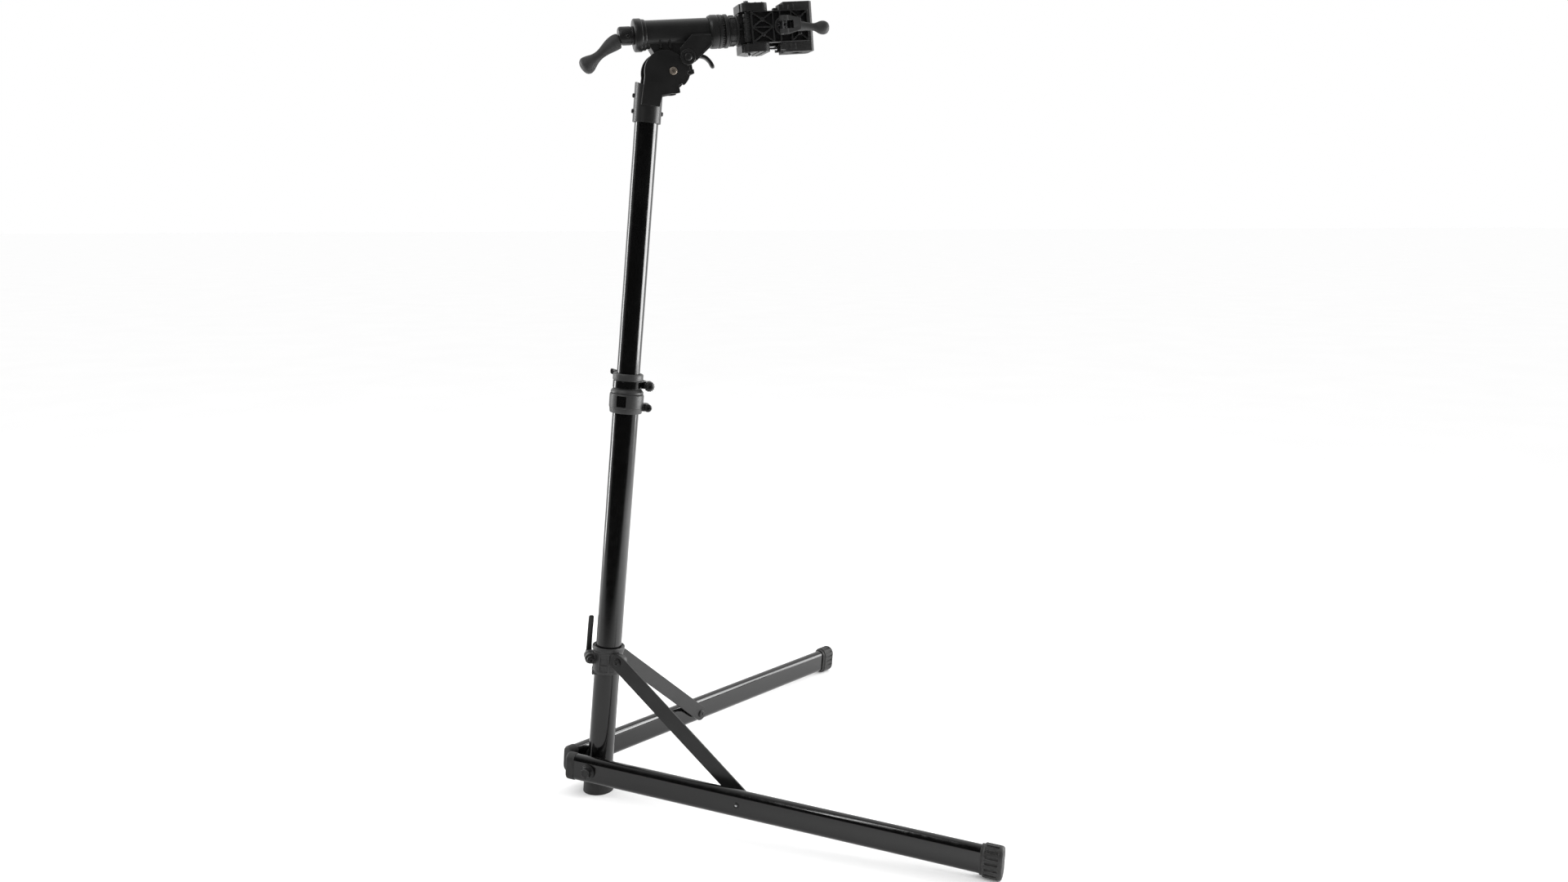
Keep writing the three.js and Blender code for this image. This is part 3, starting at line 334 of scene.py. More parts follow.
def through(radius, low, high):
    """A tool for a hole along z through a piece that spans two corners."""
    return rod(radius, low.z - PAST, high.z + PAST, ROUND)


def slot_tool(x, y, low, high):
    """A tool for a slot along z through a piece that spans two corners."""
    return block(x, y, (low.z - PAST, high.z + PAST))


def joined(*meshes):
    """Several shells in one mesh."""
    bm = bmesh.new()
    for mesh in meshes:
        bm.from_mesh(mesh)
    result = bpy.data.meshes.new("joined")
    bm.to_mesh(result)
    bm.free()
    return result


def cut(mesh, *tools):
    """The mesh with closed tools taken away from it."""
    work = bpy.data.objects.new("work", mesh)
    scene.collection.objects.link(work)
    helpers = []
    for tool in tools:
        helper = bpy.data.objects.new("tool", tool)
        scene.collection.objects.link(helper)
        helpers.append(helper)
        modifier = work.modifiers.new("cut", "BOOLEAN")
        modifier.operation = "DIFFERENCE"
        modifier.solver = "EXACT"
        modifier.object = helper
    graph = bpy.context.evaluated_depsgraph_get()
    result = bpy.data.meshes.new_from_object(work.evaluated_get(graph))
    for helper in [work, *helpers]:
        bpy.data.objects.remove(helper)
    return result


def sliced(mesh, point, normal):
    """The part of a mesh behind a plane, closed again."""
    bm = bmesh.new()
    bm.from_mesh(mesh)
    found = bmesh.ops.bisect_plane(bm, geom=bm.verts[:] + bm.edges[:] + bm.faces[:],
                                   plane_co=point, plane_no=normal, clear_outer=True)
    rim = [item for item in found["geom_cut"] if isinstance(item, bmesh.types.BMEdge)]
    bmesh.ops.holes_fill(bm, edges=rim)
    return solid(bm)


# --- materials


class Graph:
    """The node tree of a material or a world."""

    def __init__(self, owner):
        owner.use_nodes = True
        self.tree = owner.node_tree
        self.tree.nodes.clear()

    def node(self, kind, inputs=None, **settings):
        made = self.tree.nodes.new(f"ShaderNode{kind}")
        for key, value in settings.items():
            setattr(made, key, value)
        for key, value in (inputs or {}).items():
            if isinstance(value, bpy.types.NodeSocket):
                self.tree.links.new(value, made.inputs[key])
            else:
                made.inputs[key].default_value = value
        return made

    def noise(self, vector, size, detail=3.0):
        """Noise from 0 to 1 with features of about a size in millimetres."""
        made = self.node("TexNoise", {"Vector": vector, "Scale": 1 / (size * MM), "Detail": detail})
        return made.outputs["Fac"]

    def ramp(self, value, low, high, start=0.0, end=1.0):
        made = self.node("MapRange", {"Value": value, "From Min": low, "From Max": high,
                                      "To Min": start, "To Max": end})
        return made.outputs["Result"]

    def math(self, operation, a, b):
        return self.node("Math", {0: a, 1: b}, operation=operation).outputs["Value"]

    def dot(self, a, b):
        return self.node("VectorMath", {0: a, 1: b}, operation="DOT_PRODUCT").outputs["Value"]

    def mix(self, factor, a, b):
        made = self.node("Mix", {"Factor": factor}, data_type="RGBA")
        for socket, value in zip([s for s in made.inputs if s.type == "RGBA"], (a, b)):
            if isinstance(value, bpy.types.NodeSocket):
                self.tree.links.new(value, socket)
            else:
                socket.default_value = value
        return next(s for s in made.outputs if s.type == "RGBA")

    def edges(self, radius):
        """1 on edges sharper than a radius in millimetres, 0 on open faces."""
        eased = self.node("Bevel", {"Radius": radius * MM}, samples=4).outputs["Normal"]
        plain = self.node("NewGeometry").outputs["Normal"]
        return self.ramp(self.dot(eased, plain), 0.995, 0.9)


def grey(value, warmth=0.0):
    return (value * (1 + warmth), value, value * (1 - warmth), 1.0)


def finish(name, tone, roughness, metallic=0.0, warmth=0.0, coat=0.0, mottle=(25, 0.15),
           grain=(0.5, 0.05), wear_and_highlight=None, streaks=0.0, dust=0.0):
    """A worn, slightly uneven surface, its edges lighter partly from scuffs and partly from a painted
    highlight.

    mottle: size in mm and strength of uneven tone. grain: size in mm and height in mm of relief.
    wear_and_highlight: (edge radius in mm, tone, strength) of lighter edges, partly worn and partly a painted
    highlight. streaks: roughness change of fine
    lines along z. dust: share of pale dust on upward faces.
    """
    material = bpy.data.materials.new(name)
    graph = Graph(material)
    place = graph.node("TexCoord").outputs["Object"]
    patches = graph.noise(place, mottle[0])
    fine = graph.noise(place, grain[0], 2.0)
    spread = mottle[1]
    colour = graph.mix(graph.ramp(patches, 0.3, 0.7), grey(tone * (1 - spread), warmth),
                       grey(tone * (1 + spread), warmth))
    speckle = graph.ramp(graph.noise(place, grain[0] * 2.5, 4.0), 0.35, 0.75, -0.06, 0.08)
    rough = graph.math("ADD", speckle, roughness)
    if streaks:
        stretched = graph.node("Mapping", {"Vector": place, "Scale": (1, 1, 0.02)}).outputs["Vector"]
        lines = graph.ramp(graph.noise(stretched, 0.9, 5.0), 0.62, 0.72, 0.0, streaks)
        rough = graph.math("ADD", rough, lines)
    # Lighter edges: partly worn paint and partly a painted highlight where light catches the edges.
    if wear_and_highlight:
        radius, worn_and_lit_tone, strength = wear_and_highlight
        worn_and_lit_patches = graph.ramp(graph.noise(place, 6.0, 5.0), 0.42, 0.62, 0.0, strength)
        worn_and_lit_edges = graph.math("MULTIPLY", graph.edges(radius), worn_and_lit_patches)
        colour = graph.mix(worn_and_lit_edges, colour, grey(worn_and_lit_tone))
        rough = graph.math("SUBTRACT", rough, graph.math("MULTIPLY", worn_and_lit_edges, 0.12))
    if dust:
        up = graph.node("SeparateXYZ", {"Vector": graph.node("NewGeometry").outputs["Normal"]}).outputs["Z"]
        settled = graph.math("MULTIPLY", graph.ramp(up, 0.2, 1.0, 0.15, 1.0),
                             graph.ramp(graph.noise(place, 1.3, 6.0), 0.45, 0.75, 0.0, dust))
        colour = graph.mix(settled, colour, grey(0.3, 0.04))
        rough = graph.math("ADD", rough, graph.math("MULTIPLY", settled, 0.25))
    bump = graph.node("Bump", {"Height": fine, "Distance": grain[1] * MM, "Strength": 1.0})
    shader = graph.node("BsdfPrincipled", {
        "Base Color": colour, "Roughness": rough, "Metallic": metallic, "Coat Weight": coat,
        "Coat Roughness": 0.06, "Normal": bump.outputs["Normal"],
    })
    graph.node("OutputMaterial", {"Surface": shader.outputs["BSDF"]})
    return material


MATERIALS = {
    "black_tube": finish("black_tube", 0.002, 0.15, coat=0.25, mottle=(90, 0.3), grain=(5, 0.01),
                         streaks=0.12, dust=0.02),
    "satin_black": finish("satin_black", 0.009, 0.36, mottle=(30, 0.22), grain=(0.7, 0.02),
                          wear_and_highlight=(0.8, 0.08, 0.5), dust=0.04),
    "grey_plastic": finish("grey_plastic", 0.026, 0.44, mottle=(18, 0.14), grain=(0.45, 0.02),
                           wear_and_highlight=(0.8, 0.14, 0.6), dust=0.06),
    "black_plastic": finish("black_plastic", 0.011, 0.38, mottle=(16, 0.2), grain=(0.5, 0.02),
                            wear_and_highlight=(0.6, 0.08, 0.5), dust=0.05),
    # Its pale edges are partly worn and partly a painted highlight along the raised rib edges.
    "rubber": finish("rubber", 0.014, 0.6, warmth=0.02, mottle=(9, 0.2), grain=(0.5, 0.05),
                     wear_and_highlight=(1.2, 0.12, 0.7), dust=0.12),
    "grip": finish("grip", 0.024, 0.55, mottle=(11, 0.14), grain=(0.35, 0.03),
                   wear_and_highlight=(1.0, 0.08, 0.4), dust=0.06),
    "black_steel": finish("black_steel", 0.016, 0.34, metallic=0.35, mottle=(5, 0.25),
                          grain=(0.5, 0.012), wear_and_highlight=(0.5, 0.25, 0.7)),
    "zinc_steel": finish("zinc_steel", 0.55, 0.28, metallic=1.0, warmth=-0.01, mottle=(4, 0.12),
                         grain=(0.6, 0.006), wear_and_highlight=(0.4, 0.8, 0.6)),
    "bronze": finish("bronze", 0.3, 0.4, metallic=0.8, warmth=0.16, mottle=(2.5, 0.3),
                     grain=(0.4, 0.015), wear_and_highlight=(0.4, 0.5, 0.5)),
}


# --- pieces


def dress(obj, body, slot, place, ease, crease=38.0):
    """Gives a new object its place, body, finish and eased edges."""
    obj.data.transform(Matrix.Scale(MM, 4))
    obj.data.materials.append(MATERIALS[slot])
    obj.data.shade_smooth()
    obj.data.set_sharp_from_angle(angle=math.radians(crease))
    scene.collection.objects.link(obj)
    obj.matrix_world = in_metres(place)
    if ease:
        bevel = obj.modifiers.new("eased edges", "BEVEL")
        bevel.width = ease * MM
        bevel.segments = 2
        bevel.limit_method = "ANGLE"
        bevel.angle_limit = math.radians(crease)
        bevel.use_clamp_overlap = False
        bevel.harden_normals = True
    else:
        obj.modifiers.new("even shading", "WEIGHTED_NORMAL").keep_sharp = True
    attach(obj, body)


def piece(node, mesh, place, slot, ease=0.4):
    """A finer mesh in the place of a CAD node."""
    obj = bpy.data.objects.new(f"{node}_look", mesh)
    dress(obj, frame["nodes"][node]["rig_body"], slot, place, ease)
    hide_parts(node)


def detail(name, node, mesh, place, slot, ease=0.0):
    """A small extra that moves with a CAD node."""
    obj = bpy.data.objects.new(name, mesh)
    dress(obj, frame["nodes"][node]["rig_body"], slot, place, ease)


# --- mast and base

# The holes that fit over the two tubes of the mast.
LOWER_BORE = span(MAST, "lower_tube")[1].x + GAP
UPPER_BORE = span(MAST, "upper_tube")[1].x + GAP


def tubes():
    walls = {"lower_tube": 1.6, "upper_tube": 1.8}
    for node, wall in walls.items():
        low, high = span(MAST, node)
        piece(node, pipe(high.x, high.x - wall, low.z, high.z, FINE_ROUND), MAST, "black_tube", 0.5)


def column_foot():
    """The rubber cup under the mast, cut level with the floor."""
    low, high = span(MAST, "column_foot")
    rim = high.x
    seat_depth = 14
    seat = high.z - seat_depth
    cup = turned([
        (0, low.z), (rim, low.z),
        *off(rim, high.z, (0, -8), (-0.8, -7), (-0.8, -6), (0, -5), (0, -1), (-1, 0)), (LOWER_BORE, high.z),
        (LOWER_BORE, seat), (0, seat),
    ])
    down = MAST.inverted().to_3x3() @ Vector((0, 0, -1))
    piece("column_foot", sliced(cup, (0, 0, 0), down), MAST, "rubber", 0.0)


def base_bracket():
    """The sleeve at the foot of the mast with an ear for each leg."""
    low, high = span(MAST, "base_bracket")
    wall = 4.7
    sleeve_height = 18
    ear_width = 29
    ear_thickness = 17.5
    boss_radius = 9
    rim = LOWER_BORE + wall
    waist = rim - 0.4
    top = low.z + sleeve_height
    sleeve = turned([(LOWER_BORE, low.z), (rim, low.z), (rim, low.z + 4), (waist, low.z + 5),
                     (waist, top - 5), (rim, top - 4), (rim, top), (LOWER_BORE, top)])
    mast_hole = rod(LOWER_BORE, low.z - 10, high.z + 10, ROUND)
    shells = [sleeve]
    for prefix, side in SIDES.items():
        to_mast = MAST.inverted() @ FOLD[prefix]
        leg_low, leg_high = span(LEG[prefix], f"{prefix}_leg_tube")
        face = -side * ((leg_high.y - leg_low.y) / 2 + 1.5)
        ear = plate(bar((0, -1), (0, 1), ear_width), face - side * ear_thickness, face)
        boss = moved(rod(boss_radius, 0, 1), at(0, face - side * 0.2, 0) @ facing(0, side, 0))
        shells += [cut(moved(ear, to_mast), mast_hole.copy()), moved(boss, to_mast)]
    piece("base_bracket", joined(*shells), MAST, "black_steel", 0.6)


def leg_bolt(prefix, side):
    """Hexagon head on a wide washer."""
    node = f"{prefix}_leg_bolt"
    inner, end = outward_span(LEG[prefix], node, side)
    head_height = 12.2
    across_flats = 17
    shank_radius = 5
    face = end - head_height
    washer = turned([(0, face), (13, face), (13, face + 1.8), (12.4, face + 2.6), (10.6, face + 2.9),
                     (9.6, face + 4.4), (0, face + 4.4)])
    head = prism(hexagon(across_flats), face + 4, end - 0.7)
    crown = turned([(0, end - 1.2), (8.3, end - 1.2), (7.6, end - 0.3), (6.6, end - 0.1), (6, end - 0.6),
                    (0, end - 0.5)])
    shank = rod(shank_radius, inner, face + 1)
    shape = joined(washer, head, crown, shank)
    piece(node, moved(shape, facing(0, side, 0)), LEG[prefix], "black_steel", 0.4)


# --- legs and braces


def across_leg(outline, x):
    """A ring of points round a leg at a distance along it."""
    return [(x, y, z) for y, z in outline]


def leg_tube(prefix):
    node = f"{prefix}_leg_tube"
    low, high = span(LEG[prefix], node)
    height = high.z - low.z
    width = high.y - low.y
    wall = 1.5
    end_gap = 5
    start = low.x + end_gap
    outer = oval(height, width)
    inner = oval(height - 2 * wall, width - 2 * wall)
    bm = bmesh.new()
    rings = [[bm.verts.new(point) for point in across_leg(outline, x)]
             for outline, x in ((inner, start), (outer, start), (outer, high.x), (inner, high.x))]
    for lower, upper in zip(rings, rings[1:] + rings[:1]):
        skin(bm, lower, upper)
    piece(node, solid(bm), LEG[prefix], "black_tube", 0.3)


def inner_cap(prefix):
    """The soft rounded cap on a leg's inner end."""
    node = f"{prefix}_leg_inner_cap"
    low, high = span(LEG[prefix], node)
    height = high.z - low.z
    width = high.y - low.y
    nose = 4.6
    rings = []
    for degrees in range(0, 91, 15):
        inset = nose * (1 - math.sin(math.radians(degrees)))
        x = low.x + nose * (1 - math.cos(math.radians(degrees)))
        rings.append(across_leg(oval(height - 2 * inset, width - 2 * inset), x))
    rings.append(across_leg(oval(height, width), high.x - 0.8))
    rings.append(across_leg(oval(height - 1.2, width - 1.2), high.x))
    socket = lofted([across_leg(oval(height - 2.1, width - 2.1), x) for x in (low.x + 4.8, high.x + 3)])
    piece(node, cut(lofted(rings), socket), LEG[prefix], "rubber", 0.0)


def resampled(ring, count):
    """The same closed ring with a given number of evenly spaced points."""
    points = [Vector(point) for point in ring]
    closed = points + points[:1]
    lengths = [(b - a).length for a, b in zip(closed, closed[1:])]
    result = []
    walked = 0.0
    index = 0
    for step in range(count):
        along = sum(lengths) * step / count
        while along > walked + lengths[index]:
            walked += lengths[index]
            index += 1
        result.append(closed[index].lerp(closed[index + 1], (along - walked) / lengths[index]))
    return result


RIBS = 15
RIB_STEPS = 10
GROOVE_SHARE = 0.4


def ribbed_oval(height, width, groove):
    """A flat-sided oval with grooves of a given depth between the ribs round it."""
    ring = resampled(oval(height, width), RIBS * RIB_STEPS)
    points = []
    for index, point in enumerate(ring):
        ahead = ring[(index + 1) % len(ring)] - ring[index - 1]
        inward = Vector((-ahead.y, ahead.x)).normalized()
        depth = groove if index % RIB_STEPS < GROOVE_SHARE * RIB_STEPS else 0.0
        points.append(tuple(point + inward * depth))
    return points


def foot_cap(prefix):
    """The big rubber shoe on a leg's outer end, ribbed along its length."""
    node = f"{prefix}_leg_foot_cap"
    low, high = span(LEG[prefix], node)
    height = high.z - low.z
    width = high.y - low.y
    socket_depth = 22
    back = low.x
    front = high.x
    # Each station has its x, how much smaller the oval is, and the depth of its grooves.
    stations = [
        (back, 5.6, 0), (back + 0.7, 4.6, 0), (back + 4, 4.6, 0), (back + 4.8, 2.4, 0), (back + 6.2, 0, 0),
        (back + 7.6, 0, 0), (back + 8.8, 0, 2), (front - 7.2, 0, 2), (front - 6, 0, 0), (front - 3.4, 0, 0),
        (front - 1.2, 2, 0), (front - 0.5, 4.4, 0), (front - 1.2, 5.4, 0), (front - 1.2, 8, 0),
        (front - 0.2, 10, 0), (front, 20, 0),
    ]
    rings = [across_leg(ribbed_oval(height - less, width - less, groove), x) for x, less, groove in stations]
    socket = lofted([across_leg(oval(height - 8, width - 9.4), x) for x in (back - 3, back + socket_depth)])
    piece(node, cut(lofted(rings), socket), LEG[prefix], "rubber", 0.0)


def outward_span(place, node, side):
    """The ends of a node across a leg, measured outward on its side of the mast."""
    low, high = span(place, node)
    return sorted((side * low.y, side * high.y))


def brace(prefix, side):
    """A flat strap, the shouldered rivet at its leg and the rivet at the sliding collar."""
    place = LEG[prefix]
    strap_node = f"{prefix}_brace"
    lower_node = f"{prefix}_brace_rivet"
    upper_node = f"{prefix}_brace_top_rivet"
    low, high = span(place, strap_node)
    lower = middle(place, lower_node)
    upper = middle(place, upper_node)
    strap = plate(bar((upper.x, upper.z), (lower.x, 0), 2 * (high.z - upper.z)), low.y, high.y)
    piece(strap_node, strap, place, "satin_black", 0.5)

    # The rivets are drawn along z, which then points outward from the mast.
    strap_inner, strap_outer = outward_span(place, strap_node, side)
    leg_face = span(place, f"{prefix}_leg_tube")[1].y + GAP
    inner_end, outer_end = outward_span(place, lower_node, side)
    stem = turned([
        (0, inner_end + 0.9), (2.6, inner_end + 0.9), (3.2, inner_end), (5.6, inner_end),
        (6.8, inner_end + 0.7), (7, strap_inner - GAP), (3, strap_inner - GAP),
        (3, strap_outer + GAP), (6.5, strap_outer + GAP), (6.5, -leg_face), (3, -leg_face),
        (3, leg_face), (4.8, leg_face), (4.6, outer_end - 0.1), (3.4, outer_end), (3, leg_face + 0.1),
        (0, leg_face + 0.1),
    ])
    outward = at(lower.x, 0, 0) @ facing(0, side, 0)
    piece(lower_node, moved(stem, outward), place, "black_steel", 0.15)
    core = turned([(0, leg_face - 1), (2.1, leg_face - 1), (2.1, outer_end - 0.4), (1.2, outer_end),
                   (0, outer_end)])
    detail(f"{prefix}_rivet_core", lower_node, moved(core, outward), place, "zinc_steel")

    start, end = outward_span(place, upper_node, side)
    face = strap_outer + GAP
    height = end - face
    head = turned([
        (0, start), (3, start), (3, face), (7, face), (6.7, face + height * 0.7), (5.8, end), (3.6, end),
        (2.9, face + height * 0.45), (0, face + height * 0.4),
    ])
    outward = across(upper, side)
    piece(upper_node, moved(head, outward), place, "black_steel", 0.15)


def legs():
    for prefix, side in SIDES.items():
        leg_bolt(prefix, side)
        leg_tube(prefix)
        inner_cap(prefix)
        foot_cap(prefix)
        brace(prefix, side)


# --- sliding collar


def slide_collar():
    low, high = span(MAST, "slide_collar")
    bottom, top = low.z, high.z
    wall = 4.2
    ear_width = 19
    ear_thickness = 9.5
    slot_half = 1.5
    lug_width = 22
    lug_thickness = 13
    window_angle = 112
    rib_angles = (-130, -94, 94, 130)
    radius = LOWER_BORE + wall
    flare = radius + 1.5
    body = turned([
        (LOWER_BORE, bottom), *off(radius, bottom, (-0.6, 0), (0, 1), (0, 5), (-0.9, 6)),
        *off(radius, top, (-0.9, -12), (0, -11), (0, -8.4)),
        *off(flare, top, (0, -6.6), (0, -1), (-1, 0)), (radius - 1.2, top), (radius - 1.6, top - 1.6),
        (LOWER_BORE, top - 1.6),
    ])
    slot = slot_tool((-60, -15), (-slot_half, slot_half), low, high)
    body = cut(body, slot)
    windows = []
    for turn in (-window_angle, window_angle):
        pane = prism(rounded(rectangle(-6.5, 6.5, -13, 13), 2), 0, 12)
        seat = at(radius - 2.6, 0, (bottom + top) / 2 - 1)
        windows.append(moved(pane, turned_by(turn) @ seat @ facing(*ALONG_X)))
    body = cut(body, *windows)
    shells = [body]
    for turn in rib_angles:
        rib = block((radius - 2, radius + 0.5), (-1.1, 1.1), (bottom + 3, top - 9))
        shells.append(moved(rib, turned_by(turn)))

    bolt = middle(MAST, "collar_skewer")
    ears = []
    for side in (-1, 1):
        ear = plate(bar((bolt.x, bolt.z), (bolt.x + 14, bolt.z), ear_width),
                    side * slot_half, side * (slot_half + ear_thickness))
        ears.append(cut(ear, through(LOWER_BORE, low, high)))
    shells += ears
    stop = rounded(rectangle(-27.5, -21, bottom - 4.5, bottom + 4), 1.5)
    shells.append(plate(stop, -9.5, -3.5))

    for prefix, side in SIDES.items():
        place = FOLD[prefix]
        to_mast = MAST.inverted() @ place
        rivet = middle(place, f"{prefix}_brace_top_rivet")
        strap_low, strap_high = span(place, f"{prefix}_brace")
        inner = min(side * strap_low.y, side * strap_high.y)
        lug = bar((0, rivet.z), (rivet.x, rivet.z), lug_width)
        arm = moved(plate(lug, side * (inner - GAP - lug_thickness), side * (inner - GAP)), to_mast)
        shells.append(cut(arm, through(LOWER_BORE, low, high)))
    piece("slide_collar", joined(*shells), MAST, "grey_plastic", 0.6)


def socket_nut(points, socket, depth, top):
    """A turned nut along z with a hexagon socket in its top."""
    return cut(turned(points), prism(hexagon(socket), top - depth, top + 2))


SKEWER_RADIUS = 2.6
SKEWER_SOCKET = 5.4
BARREL_RADIUS = 4
CAM_RADIUS = 6.4
KNURLS = 14


def skewer(bolt, cam_y, nut_end, barrel_turn):
    """A quick release's rod, with a barrel across its left end for the lever's cam."""
    shank = moved(rod(SKEWER_RADIUS, -cam_y, nut_end), across(bolt, -1))
    barrel = moved(rod(BARREL_RADIUS, -6, 6), at(bolt.x, cam_y, bolt.z) @ barrel_turn)
    return joined(shank, barrel)


def cam_lever(blade, cam_y, half):
    """A lever: its blade, and its cam with a hole for the barrel and a window for the skewer."""
    axis = at(cam_y, 0, 0) @ facing(0, 1, 0)
    cam = cut(moved(rod(CAM_RADIUS, -half, half), axis),
              moved(rod(BARREL_RADIUS + GAP, -9, 9), axis),
              block((cam_y - 10, cam_y + 10), (-3.2, 3.2), (-10, 6.6)))
    return joined(blade, cam)


def collar_release():
    """The quick release behind the sliding collar: nut on the right, lever on the left."""
    bolt = middle(MAST, "collar_skewer")
    low, high = span(MAST, "collar_nut")
    tip = -low.y
    nut = socket_nut([
        (0, -high.y), (4.5, -high.y), (6.6, 12.6), (6.8, 14), (6.8, tip - 2.2), (6.2, tip - 0.9),
        (5, tip), (0, tip),
    ], SKEWER_SOCKET, 3, tip)
    rightward = across(bolt, -1)
    piece("collar_nut", moved(nut, rightward), MAST, "black_steel", 0.25)
    cam_y = (MAST.inverted() @ joint_point("collar_lever_open")).y
    piece("collar_skewer", skewer(bolt, cam_y, 15, facing(*ALONG_X)), MAST, "zinc_steel", 0.3)

    # The lever is drawn with the cam barrel along y, then turned so that x points left.
    turn = at(bolt.x, 0, bolt.z) @ turned_by(90)
    reach = span(MAST, "collar_lever")[1].z - bolt.z
    blade = swept([
        (18, 3, 2.9, 5.2), (19.4, 9, 2.7, 5), (20.2, 18, 2.4, 4.7), (20.4, 34, 2.3, 4.6),
        (18.6, 50, 2.3, 4.6), (16.4, reach - 6, 2.3, 4.6), (15.6, reach - 1.8, 2.1, 4.1),
        (15.5, reach - 0.4, 1.4, 2.6), (15.5, reach, 0.5, 1.2),
    ], 28, 3.2)
    piece("collar_lever", moved(cam_lever(blade, cam_y, 5.5), turn), MAST, "black_plastic", 0.35)


# --- height clamp


def tube_collar():
    """The collar below the height clamp, with a glossy insert in a window on the right."""
    low, high = span(MAST, "tube_collar")
    bottom, top = low.z, high.z
    radius = -low.x
    ear = middle(MAST, "tube_collar_screw")
    body = turned([
        (LOWER_BORE, bottom), *off(radius, bottom, (-2.4, 0), (-1.8, 1.2), (-1, 8.6), (-0.2, 9.4)),
        *off(radius, top, (0, -3.4), (-0.6, -1.2), (-2, 0)), (LOWER_BORE, top),
    ])
    slot_half = 1
    ear_width = 13
    ear_thickness = 8
    window_turn = -116
    slot = slot_tool((12, 60), (-slot_half, slot_half), low, high)
    pane = prism(rounded(rectangle(-9.5, 9.5, -8.5, 8.5), 1.6), 0, 12)
    window = moved(pane, turned_by(window_turn) @ at(radius - 4, 0, top - 12.5) @ facing(*ALONG_X))
    shells = [cut(body, slot, window)]
    mast_hole = through(LOWER_BORE, low, high)
    for side in (-1, 1):
        cheek = plate(bar((22, ear.z), (ear.x, ear.z), ear_width),
                      side * slot_half, side * (slot_half + ear_thickness))
        shells.append(cut(cheek, mast_hole.copy()))
    piece("tube_collar", joined(*shells), MAST, "grey_plastic", 0.6)

    band = pipe(radius - 2.2, radius - 5, top - 22, top - 3.6)
    reach = 60
    insert = cut(band, slot_tool((-reach, reach), (-10, reach), low, high),
                 slot_tool((-1, reach), (-reach, reach), low, high),
                 slot_tool((-reach, -21), (-reach, reach), low, high))
    detail("tube_collar_insert", "tube_collar", insert, MAST, "black_tube", 0.2)

    under = slot_half + ear_thickness + GAP
    start, tip = outward_span(MAST, "tube_collar_screw", -1)
    screw = socket_nut([(0, start), (2.5, start), (2.5, under), (6.8, under), (6.8, tip - 2.4),
                        (6.2, tip - 1), (4.8, tip), (0, tip)], 5, 3, tip)
    piece("tube_collar_screw", moved(screw, across(ear, -1)), MAST, "black_steel", 0.2)


def clamp_sleeve():
    low, high = span(MAST, "clamp_sleeve")
    bottom, top = low.z, high.z
    shoulder = span(MAST, "lower_tube")[1].z + GAP
    flare = -low.x
    neck_wall = 0.5
    neck = LOWER_BORE + neck_wall
    rim = flare - 2
    body = turned([
        (LOWER_BORE, bottom), *off(flare, bottom, (0, 0), (0, 2.6), (-0.8, 4)),
        *off(neck, bottom, (1.4, 7.2), (0, 8)), (neck, top - 12),
        *off(rim, top, (-1, -12), (0, -11.2), (0, -2.4), (-0.8, -0.8), (-2.2, 0)), (UPPER_BORE + 1, top),
        (UPPER_BORE, top - 1), (UPPER_BORE, shoulder), (LOWER_BORE, shoulder),
    ])
    slot = slot_tool((12, 60), (-1, 1), low, high)
    piece("clamp_sleeve", cut(body, slot), MAST, "grey_plastic", 0.45)


def clamp_band():
    low, high = span(MAST, "clamp_band")
    radius = -low.x
    thickness = 2.1
    slot_half = 1.5
    ear_half = 6.2
    bore = radius - thickness
    ring = pipe(radius, bore, low.z, high.z)
    slot = slot_tool((15, 60), (-slot_half, slot_half), low, high)
    middle_height = (low.z + high.z) / 2
    ears = []
    for side in (-1, 1):
        ear = rounded(rectangle(22.6, high.x, side * slot_half, side * 4.5), 1.2)
        ears.append(prism(ear, middle_height - ear_half, middle_height + ear_half))
    piece("clamp_band", joined(cut(ring, slot), *ears), MAST, "black_tube", 0.5)


def band_release():
    """The height clamp's quick release: knurled nut on the right, curved lever round the left."""
    bolt = middle(MAST, "band_skewer")
    low, high = span(MAST, "band_nut")
    tip = -low.y
    start = -high.y
    dome = [(0, start), (5.5, start), (5.5, 11.6), (7.4, 12.6), (8.3, 13.6), (8.3, tip - 4),
            (7.6, tip - 2), (6, tip - 0.5), (4.6, tip), (0, tip)]
    knurls = ring_of(moved(rod(1.1, 13.4, tip - 3.6, 12), at(7.9, 0, 0)), KNURLS, "Z")
    nut = joined(socket_nut(dome, SKEWER_SOCKET, 3, tip), *knurls)
    rightward = across(bolt, -1)
    piece("band_nut", moved(nut, rightward), MAST, "black_plastic", 0.2)
    cam_y = (MAST.inverted() @ joint_point("band_lever_open")).y
    piece("band_skewer", skewer(bolt, cam_y, 13, at(0, 0, 0)), MAST, "zinc_steel", 0.3)

    # Drawn with x to the left, y down the mast and z backward, round the mast's axis.
    turn = at(bolt.x, 0, bolt.z) @ Matrix(((0, 0, -1, 0), (1, 0, 0, 0), (0, -1, 0, 0), (0, 0, 0, 1)))
    rise = 0.29
    inner_bend = 33.5
    flare = 5
    flare_start = 68
    flare_end = 134
    stations = []
    # Each row has its angle round the mast and the blade's half thickness and half breadth there.
    sizes = [(18, 2.9, 5.4), (24, 2.9, 5.4), (45, 2.6, 5.2), (68, 2.5, 5.1), (92, 2.4, 5.1), (116, 2.4, 5.2),
             (129, 2.2, 4.9), (133, 1.5, 3.6), (134.2, 0.6, 1.6)]
    for degrees, thick, broad in sizes:
        angle = math.radians(degrees)
        bend = inner_bend + flare * max(0, (degrees - flare_start) / (flare_end - flare_start))
        stations.append((bend * math.sin(angle), bolt.x - bend * math.cos(angle), thick, broad))
    climb = Matrix(((1, 0, 0, 0), (0, 1, -rise, 0), (0, 0, 1, 0), (0, 0, 0, 1)))
    blade = moved(swept(stations, 28, 3.2), climb)
    piece("band_lever", moved(cam_lever(blade, cam_y, 6), turn), MAST, "black_plastic", 0.35)


# --- yoke on the upper tube


